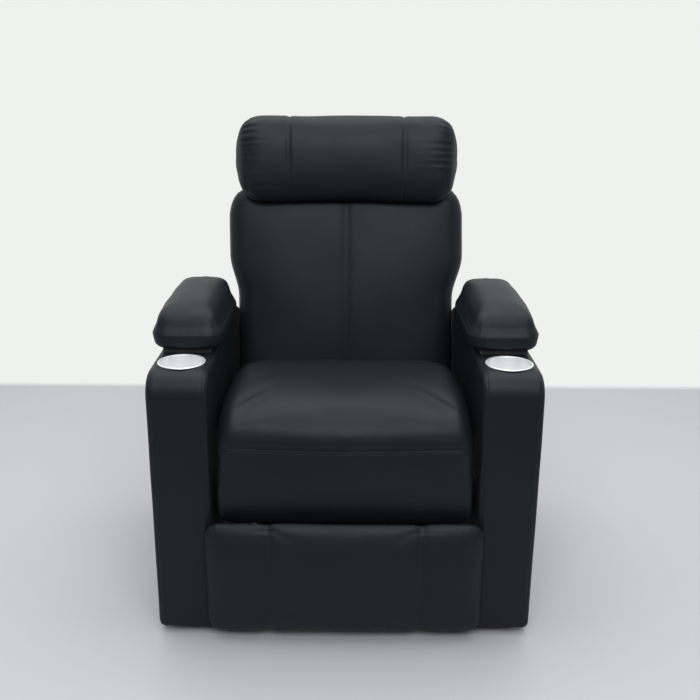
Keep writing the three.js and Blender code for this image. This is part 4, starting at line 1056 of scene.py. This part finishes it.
# Arms: a panel each, with rounded edges, a welt near each side, a cup hole and a storage hole
ARM_LENGTH, ARM_WIDTH = 700, 126
ARM_LOW, ARM_HIGH = 18, 600
ARM_SIDE_EDGE = 14
ARM_CORNERS = {(-1, 1): 50, (1, 1): 150, (-1, -1): 3, (1, -1): 3}
ARM_WELT, ARM_WELT_WIDTH, ARM_WELT_DEPTH = 8, 1.5, 1.3
ARM_WELT_BESIDE = 1.8
ARM_TOP_FALL, ARM_SIDE_SWELL = 2.4, 1.6
ARM_SPACING, ARM_SPACING_ACROSS = 13, 12
EDGE_STEPS, EDGE_CLEAR, EDGE_NEAR = 4, 1.2, 0.45
CUP_BACK, CUP_HOLE, CUP_HOLE_DEPTH = 88, 45.3, 70.3
BIN_BACK, BIN_LENGTH, BIN_WIDTH, BIN_DEPTH = 165, 290, 84, 210
SWITCH_BACK, SWITCH_UP = 200, 440
SWITCH_LENGTH, SWITCH_HEIGHT, SWITCH_DEPTH = 76, 40, 10
SWITCH_LAP = 6
FIT, OVERRUN = 0.3, 20


def edge_lines(half, edge, spacing, extra=()):
    """Grid lines over a length, closer together where its ends are rounded."""
    steps = range(EDGE_STEPS)
    arc = [half - edge + edge * math.tan(math.pi / 4 * k / (EDGE_STEPS - 1)) for k in steps]
    arc = [value for value in arc if all(abs(value - other) > EDGE_CLEAR for other in extra)]
    near = half - edge - spacing * EDGE_NEAR
    inner = np.linspace(-near, near, math.ceil(2 * near / spacing) + 1)
    ends = [*arc, *extra]
    return np.array(sorted([*inner, *ends, *(-value for value in ends)])) / half


def arm_points(block):
    """The arm's skin, round its own middle, in millimetres."""
    half_width, half_length, half_height = block.size / 2
    share = block.share
    across = share[:, 0] * half_width
    flat = share[:, 1:] * block.size[1:] / 2
    halves = np.array([half_length, half_height])
    depth = (halves - abs(flat)).min(1)
    from_side = half_width - abs(across)
    edge = ARM_SIDE_EDGE
    rim = np.stack([np.maximum(0, edge - from_side), np.maximum(0, edge - depth)], 1) / edge
    reach = np.maximum(1, np.linalg.norm(rim, axis=1) / np.maximum(rim.max(1), 1e-9))
    rim = rim / reach[:, None]
    in_corner = (from_side < edge) & (depth < edge)
    side_gap = np.where(in_corner, edge * (1 - rim[:, 0]), from_side)
    new_depth = np.where(in_corner, edge * (1 - rim[:, 1]), depth)
    flat = flat * ((halves - new_depth[:, None]) / np.maximum(halves - depth[:, None], 1e-6))
    corner = np.zeros(len(flat))
    for signs, radius in ARM_CORNERS.items():
        corner[(np.sign(flat) == signs).all(1)] = radius
    radius = np.maximum(corner - new_depth, 0)[:, None]
    core_half = halves - new_depth[:, None] - radius
    core = np.clip(flat, -core_half, core_half)
    out = flat - core
    length = np.linalg.norm(out, axis=1)[:, None]
    largest = abs(out).max(1)[:, None]
    round_out = core + out * largest / np.maximum(length, 1e-9)
    flat = np.where((abs(out) > 1e-9).all(1)[:, None], round_out, flat)
    across = np.sign(across) * (half_width - side_gap)
    fall = np.maximum(0, share[:, 2]) ** 8 * ARM_TOP_FALL * (across / half_width) ** 4
    swell = ARM_SIDE_SWELL * hump(np.clip(share[:, 1], -1, 1)) * hump(np.clip(share[:, 2], -1, 1))
    across = across + np.sign(across) * np.where(abs(share[:, 0]) == 1, swell, 0)
    return columns(across, flat[:, 0], flat[:, 1] - fall)


def cut_out(piece, low, high, sides=0):
    """Takes a box, or a round hole of so many sides, out of a piece, between two places."""
    low, high = place(*low), place(*high)
    middle, half = (low + high) / 2, (high - low) / 2
    bm = bmesh.new()
    if sides:
        bmesh.ops.create_cone(
            bm, cap_ends=True, segments=sides, radius1=half.x, radius2=half.x, depth=2 * half.z,
        )
    else:
        bmesh.ops.create_cube(bm, size=2, matrix=Matrix.Diagonal((*half, 1)))
    bmesh.ops.translate(bm, verts=bm.verts, vec=middle)
    mesh = bpy.data.meshes.new("cutter")
    bm.to_mesh(mesh)
    bm.free()
    cutter = add_object("cutter", mesh)
    modifier = piece.modifiers.new("cut", "BOOLEAN")
    modifier.object = cutter
    modifier.solver = "EXACT"
    apply_modifiers(piece)
    bpy.data.objects.remove(cutter)
    bpy.data.meshes.remove(mesh)
    piece.data.set_sharp_from_angle(angle=math.radians(50))


def make_arm(side, sign):
    half = ARM_WIDTH / 2
    welt = half - ARM_WELT
    block = Block((ARM_WIDTH, ARM_LENGTH, ARM_HIGH - ARM_LOW), ARM_SPACING)
    beside = (welt - ARM_WELT_BESIDE, welt, welt + ARM_WELT_BESIDE)
    block.lines = [
        edge_lines(half, ARM_SIDE_EDGE, ARM_SPACING_ACROSS, beside),
        edge_lines(ARM_LENGTH / 2, ARM_SIDE_EDGE, ARM_SPACING),
        edge_lines((ARM_HIGH - ARM_LOW) / 2, ARM_SIDE_EDGE, ARM_SPACING),
    ]
    block.lay()
    middle = sign * ARM_MID / MM
    points = arm_points(block) + np.array([middle, ARM_LENGTH / 2, (ARM_HIGH + ARM_LOW) / 2])
    cover = Cover(f"arm_{side}", in_row(points), block)
    welts = {"inner_welt": -welt / half, "outer_welt": welt / half}
    for name, share in welts.items():
        cover.mark(name, 0, share)
    cover.refine()
    cover.soften(1.1, size=150, seed=10 + sign)
    for name in welts:
        cover.sew(name, ARM_WELT_DEPTH, ARM_WELT_WIDTH, lift=0.35, lift_width=8)
    flat = coords(cover.piece.data)
    flat[:, 2] = np.clip(flat[:, 2], ARM_LOW * MM, (ARM_HIGH + FIT / 2) * MM)
    set_coords(cover.piece.data, flat)
    top = ARM_HIGH + OVERRUN
    low = (middle - CUP_HOLE, CUP_BACK - CUP_HOLE, ARM_HIGH - CUP_HOLE_DEPTH)
    cut_out(cover.piece, low, (middle + CUP_HOLE, CUP_BACK + CUP_HOLE, top), sides=72)
    half_bin = BIN_WIDTH / 2 + FIT
    low = (middle - half_bin, BIN_BACK - FIT, ARM_HIGH - BIN_DEPTH - FIT)
    cut_out(cover.piece, low, (middle + half_bin, BIN_BACK + BIN_LENGTH + FIT, top))
    if sign < 0:
        back, up = SWITCH_BACK + SWITCH_LAP, SWITCH_UP + SWITCH_LAP
        low = (-ARM_OUT / MM - OVERRUN, back, up)
        length, height = SWITCH_LENGTH - 2 * SWITCH_LAP, SWITCH_HEIGHT - 2 * SWITCH_LAP
        cut_out(cover.piece, low, (-ARM_OUT / MM + SWITCH_DEPTH, back + length, up + height))
    cover.done("base", f"arm_cover_{side}", fill=0.95)


# Cup holders: turned from a profile that runs up the outside, over the rim and down the inside
CUP_RADIUS, CUP_RIM, CUP_WALL = 45, 50, 1.5
CUP_DEPTH, CUP_RIM_RISE = 70, 2.8
CUP_SIDES = 96
CUP_INNER = CUP_RADIUS - CUP_WALL
CUP_PROFILE = [
    (0.5, -CUP_DEPTH),
    *((CUP_RADIUS - less, up - CUP_DEPTH) for less, up in ((8, 0), (5, 0.6), (2.3, 2.3), (0.6, 5), (0, 8))),
    (CUP_RADIUS, 0.3),
    *((CUP_RIM - less, up) for less, up in ((0.5, 0.35), (0, 0.9), (0.1, 1.5), (0.7, 2.2), (1.6, 2.6))),
    (CUP_RIM - 2.8, CUP_RIM_RISE), (CUP_INNER + 1.6, 2.5), (CUP_INNER + 0.5, 2.0), (CUP_INNER, 1.0),
    *((CUP_INNER - less, up - CUP_DEPTH) for less, up in ((0, 9), (0.5, 6), (1.8, 3.6), (4.2, 2.1))),
    (CUP_INNER - 8, -CUP_DEPTH + CUP_WALL), (12, -CUP_DEPTH + CUP_WALL),
    (11.4, -CUP_DEPTH + CUP_WALL + 0.5), (0.5, -CUP_DEPTH + CUP_WALL + 0.5),
]


def make_cup(side, sign):
    middle = place(sign * ARM_MID / MM, CUP_BACK, ARM_HIGH)
    steel = brushed_ring(f"brushed_ring_{side}", tuple(middle))
    cup = turned(f"cup_{side}", middle, CUP_PROFILE, CUP_SIDES, steel)
    cup.data.set_sharp_from_angle(angle=math.radians(50))
    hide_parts(f"cup_holder_{side}")
    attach(cup, "base")


# Floor feet
PEG_TALL, PEG_TOP, PEG_TOE = 17.7, 24, 21
PEG_SIDES = 64
PEG_PROFILE = [
    (0.5, 0), (PEG_TOE - 2, 0), (PEG_TOE - 0.6, 0.5), (PEG_TOE, 1.8), (PEG_TOE + 0.5, 4),
    (PEG_TOE + 0.1, 4.4), (PEG_TOE + 0.2, 5.4), (PEG_TOE + 0.9, 5.8), (PEG_TOP - 0.2, 14.6),
    (PEG_TOP, 16), (PEG_TOP - 0.4, 17.2), (PEG_TOP - 1.2, PEG_TALL), (0.5, PEG_TALL),
]


def make_foot(node):
    low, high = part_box(node)
    middle = Vector(((low.x + high.x) / 2, (low.y + high.y) / 2, 0))
    foot = turned(f"{node}_turned", middle, PEG_PROFILE, PEG_SIDES, PLASTIC)
    foot.data.set_sharp_from_angle(angle=math.radians(60))
    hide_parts(node)
    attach(foot, "base")


# Rear shell of the back
SHELL_WIDTH, SHELL_DEPTH = 544, 89
SHELL_LOW, SHELL_HIGH = 60, 745
SHELL_FRONT = 30.6
SHELL_EDGE = (34, 34, 34)
SHELL_SPACING = 12
SHELL_SEAM_UP = 430
SHELL_BOXING_SHARE = 0.25
SHELL_BULGE = 9


def make_shell():
    height = SHELL_HIGH - SHELL_LOW
    middle_up = (SHELL_HIGH + SHELL_LOW) / 2
    seam = (SHELL_SEAM_UP - middle_up) / (height / 2)
    block = Block((SHELL_WIDTH, SHELL_DEPTH, height), SHELL_SPACING, ((), (SHELL_BOXING_SHARE,), (seam,)))
    x, y, z = block.rounded(SHELL_EDGE).T
    share_x, share_y, share_z = block.share.T
    bulge = np.maximum(0, share_y) * SHELL_BULGE * hump(share_x) * hump(share_z)
    points = columns(x, SHELL_FRONT + SHELL_DEPTH / 2 + y + bulge, middle_up + z)
    cover = Cover("shell_cover", leaned(points), block)
    held = (share_y < 0) | block.near(1, SHELL_BOXING_SHARE) | (block.near(2, seam) & (share_y > 0.9))
    cover.fill(held, pressure=1.2, cap=12, stiffness=4)
    cover.mark("boxing", 1, SHELL_BOXING_SHARE)
    cover.mark("across", 2, seam, lambda s: s[:, 1] > 0.3)
    cover.refine()
    cover.soften(1.8, size=150, seed=5)
    cover.sew("boxing", depth=1.8, width=2.4, lift=0.5)
    cover.sew("across", depth=2.2, width=3.2, lift=0.5)
    cover.gather("boxing", pitch=19, depth=1.4, reach=16, seed=31)
    cover.done("back", "back_shell")


# Gusset: a padded leather band that closes the groove between the back cushion and the shell
GUSSET_HALF, GUSSET_LOW, GUSSET_HIGH = 263, 64, 737.5
GUSSET_CORNER, GUSSET_CORNER_STEPS = 12, 7
GUSSET_THICK, GUSSET_SWELL = 4, 3
GUSSET_DEPTH = (1.2, 29.8)
GUSSET_SPACING, GUSSET_SIDES = 8, 8


def make_gusset():
    corner = np.radians(np.linspace(0, 90, GUSSET_CORNER_STEPS))
    middle = np.array([GUSSET_HALF, GUSSET_HIGH]) - GUSSET_CORNER
    rise = np.arange(GUSSET_LOW, middle[1], GUSSET_SPACING)
    across = np.arange(middle[0] - GUSSET_SPACING, -middle[0], -GUSSET_SPACING)
    bend = middle + columns(np.cos(corner), np.sin(corner)) * GUSSET_CORNER
    right = np.vstack([columns(GUSSET_HALF, rise), bend])
    path = np.vstack([right, columns(across, GUSSET_HIGH), right[::-1] * (-1, 1)])
    heading = np.gradient(path, axis=0)
    normal = columns(heading[:, 1], -heading[:, 0]) / np.linalg.norm(heading, axis=1)[:, None]
    share = np.linspace(-1, 1, GUSSET_SIDES)
    depth = np.interp(share, (-1, 1), GUSSET_DEPTH)
    skin = columns(GUSSET_THICK / 2 + GUSSET_SWELL * hump(share), depth)
    ring = np.vstack([skin, columns(-GUSSET_THICK / 2, depth[::-1])])
    points = []
    for at, out in zip(path, normal):
        for lift, back in ring:
            across, up = at + out * lift
            points.append((across, back, up))
    piece = mesh_piece("back_gusset", leaned(points) * MM, tube_faces(len(path), len(ring)), LEATHER)
    piece.data.set_sharp_from_angle(angle=math.radians(50))
    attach(piece, "back")


# Plug: a bevelled body with a grip, and its two blades. Its rings are (distance from the mouth, size)
PLUG_LONG, PLUG_WIDE, PLUG_TALL = 34, 28, 22
PLUG_RINGS = (
    (0, 0.5), (0.8, 0.62), (4, 0.7), (10, 0.78), (13, 0.98), (15, 1), (30, 1), (33, 0.98), (34, 0.9),
)
PLUG_SIDES, PLUG_ROUNDNESS = 28, 0.45
PLUG_MOUTH, PLUG_BACK = -112.3, 656
PLUG_UP = PLUG_TALL / 2 + 0.1
BLADE_LONG, BLADE_WIDE, BLADE_THICK, BLADE_SPACING = 17, 6.4, 1.5, 12
BOX_FACES = ((0, 1, 3, 2), (4, 6, 7, 5), (0, 4, 5, 1), (2, 3, 7, 6), (0, 2, 6, 4), (1, 5, 7, 3))


def make_plug():
    points = []
    for along, size in PLUG_RINGS:
        for cos, sin in circle(PLUG_SIDES):
            wide = math.copysign(abs(cos) ** PLUG_ROUNDNESS, cos) * PLUG_WIDE / 2 * size
            tall = math.copysign(abs(sin) ** PLUG_ROUNDNESS, sin) * PLUG_TALL / 2 * size
            points.append(place(PLUG_MOUTH - along, PLUG_BACK + wide, PLUG_UP + tall))
    faces = tube_faces(len(PLUG_RINGS), PLUG_SIDES)
    body_faces = len(faces)
    start = PLUG_MOUTH - PLUG_LONG
    for side in (-1, 1):
        back = PLUG_BACK + side * BLADE_SPACING / 2
        first = len(points)
        points += [
            place(out, back + thick, PLUG_UP + wide) for out in (start - BLADE_LONG, start + 1)
            for thick in (-BLADE_THICK / 2, BLADE_THICK / 2) for wide in (-BLADE_WIDE / 2, BLADE_WIDE / 2)
        ]
        faces += [tuple(first + corner for corner in face) for face in BOX_FACES]
    piece = mesh_piece("plug_body", points, faces, PLASTIC)
    piece.data.materials.append(BRIGHT)
    for face in piece.data.polygons[body_faces:]:
        face.material_index = 1
    face_out(piece.data)
    smooth(piece.data, sharp=40)
    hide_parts("power_plug")
    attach(piece, "base")
    return piece


# Rigid pieces keep their solids, with eased edges and finishes
FINISHES = {
    "frame_steel": STEEL, "bright_steel": BRIGHT, "plywood": WOOD, "moulded_plastic": PLASTIC,
    "foot_plastic": PLASTIC, "bin_lining": FELT, "cord_rubber": RUBBER, "cover_leather": LEATHER,
}
EASED_EDGE = 0.7


def finish_nodes():
    """Every node that stays gets its finish, and the hard ones get eased edges and smooth round faces."""
    slots = {entry["node"]: entry["material_slot"] for entry in frame["record"]["subparts"]}
    for name, node in nodes.items():
        material = FINISHES.get(slots[name])
        if material is None:
            continue
        for slot in node.material_slots:
            slot.material = material
        smooth(node.data)
        weld = node.modifiers.new("weld", "WELD")
        weld.merge_threshold = 1e-5
        bevel = node.modifiers.new("ease", "BEVEL")
        bevel.width = EASED_EDGE * MM
        bevel.segments = 2
        bevel.limit_method = "ANGLE"
        bevel.angle_limit = math.radians(40)
        bevel.harden_normals = True


cord = make_cord()
relief = make_relief()
plug = make_plug()

for side, sign in SIDES.items():
    make_arm(side, sign)
    make_cup(side, sign)
    make_pad(side, sign)
    for end in ("front", "rear"):
        make_foot(f"foot_{end}_{side}")
make_seat()
make_apron_shade_strip()
make_back()
make_shell()
make_gusset()
make_headrest()
make_footrest()
finish_nodes()
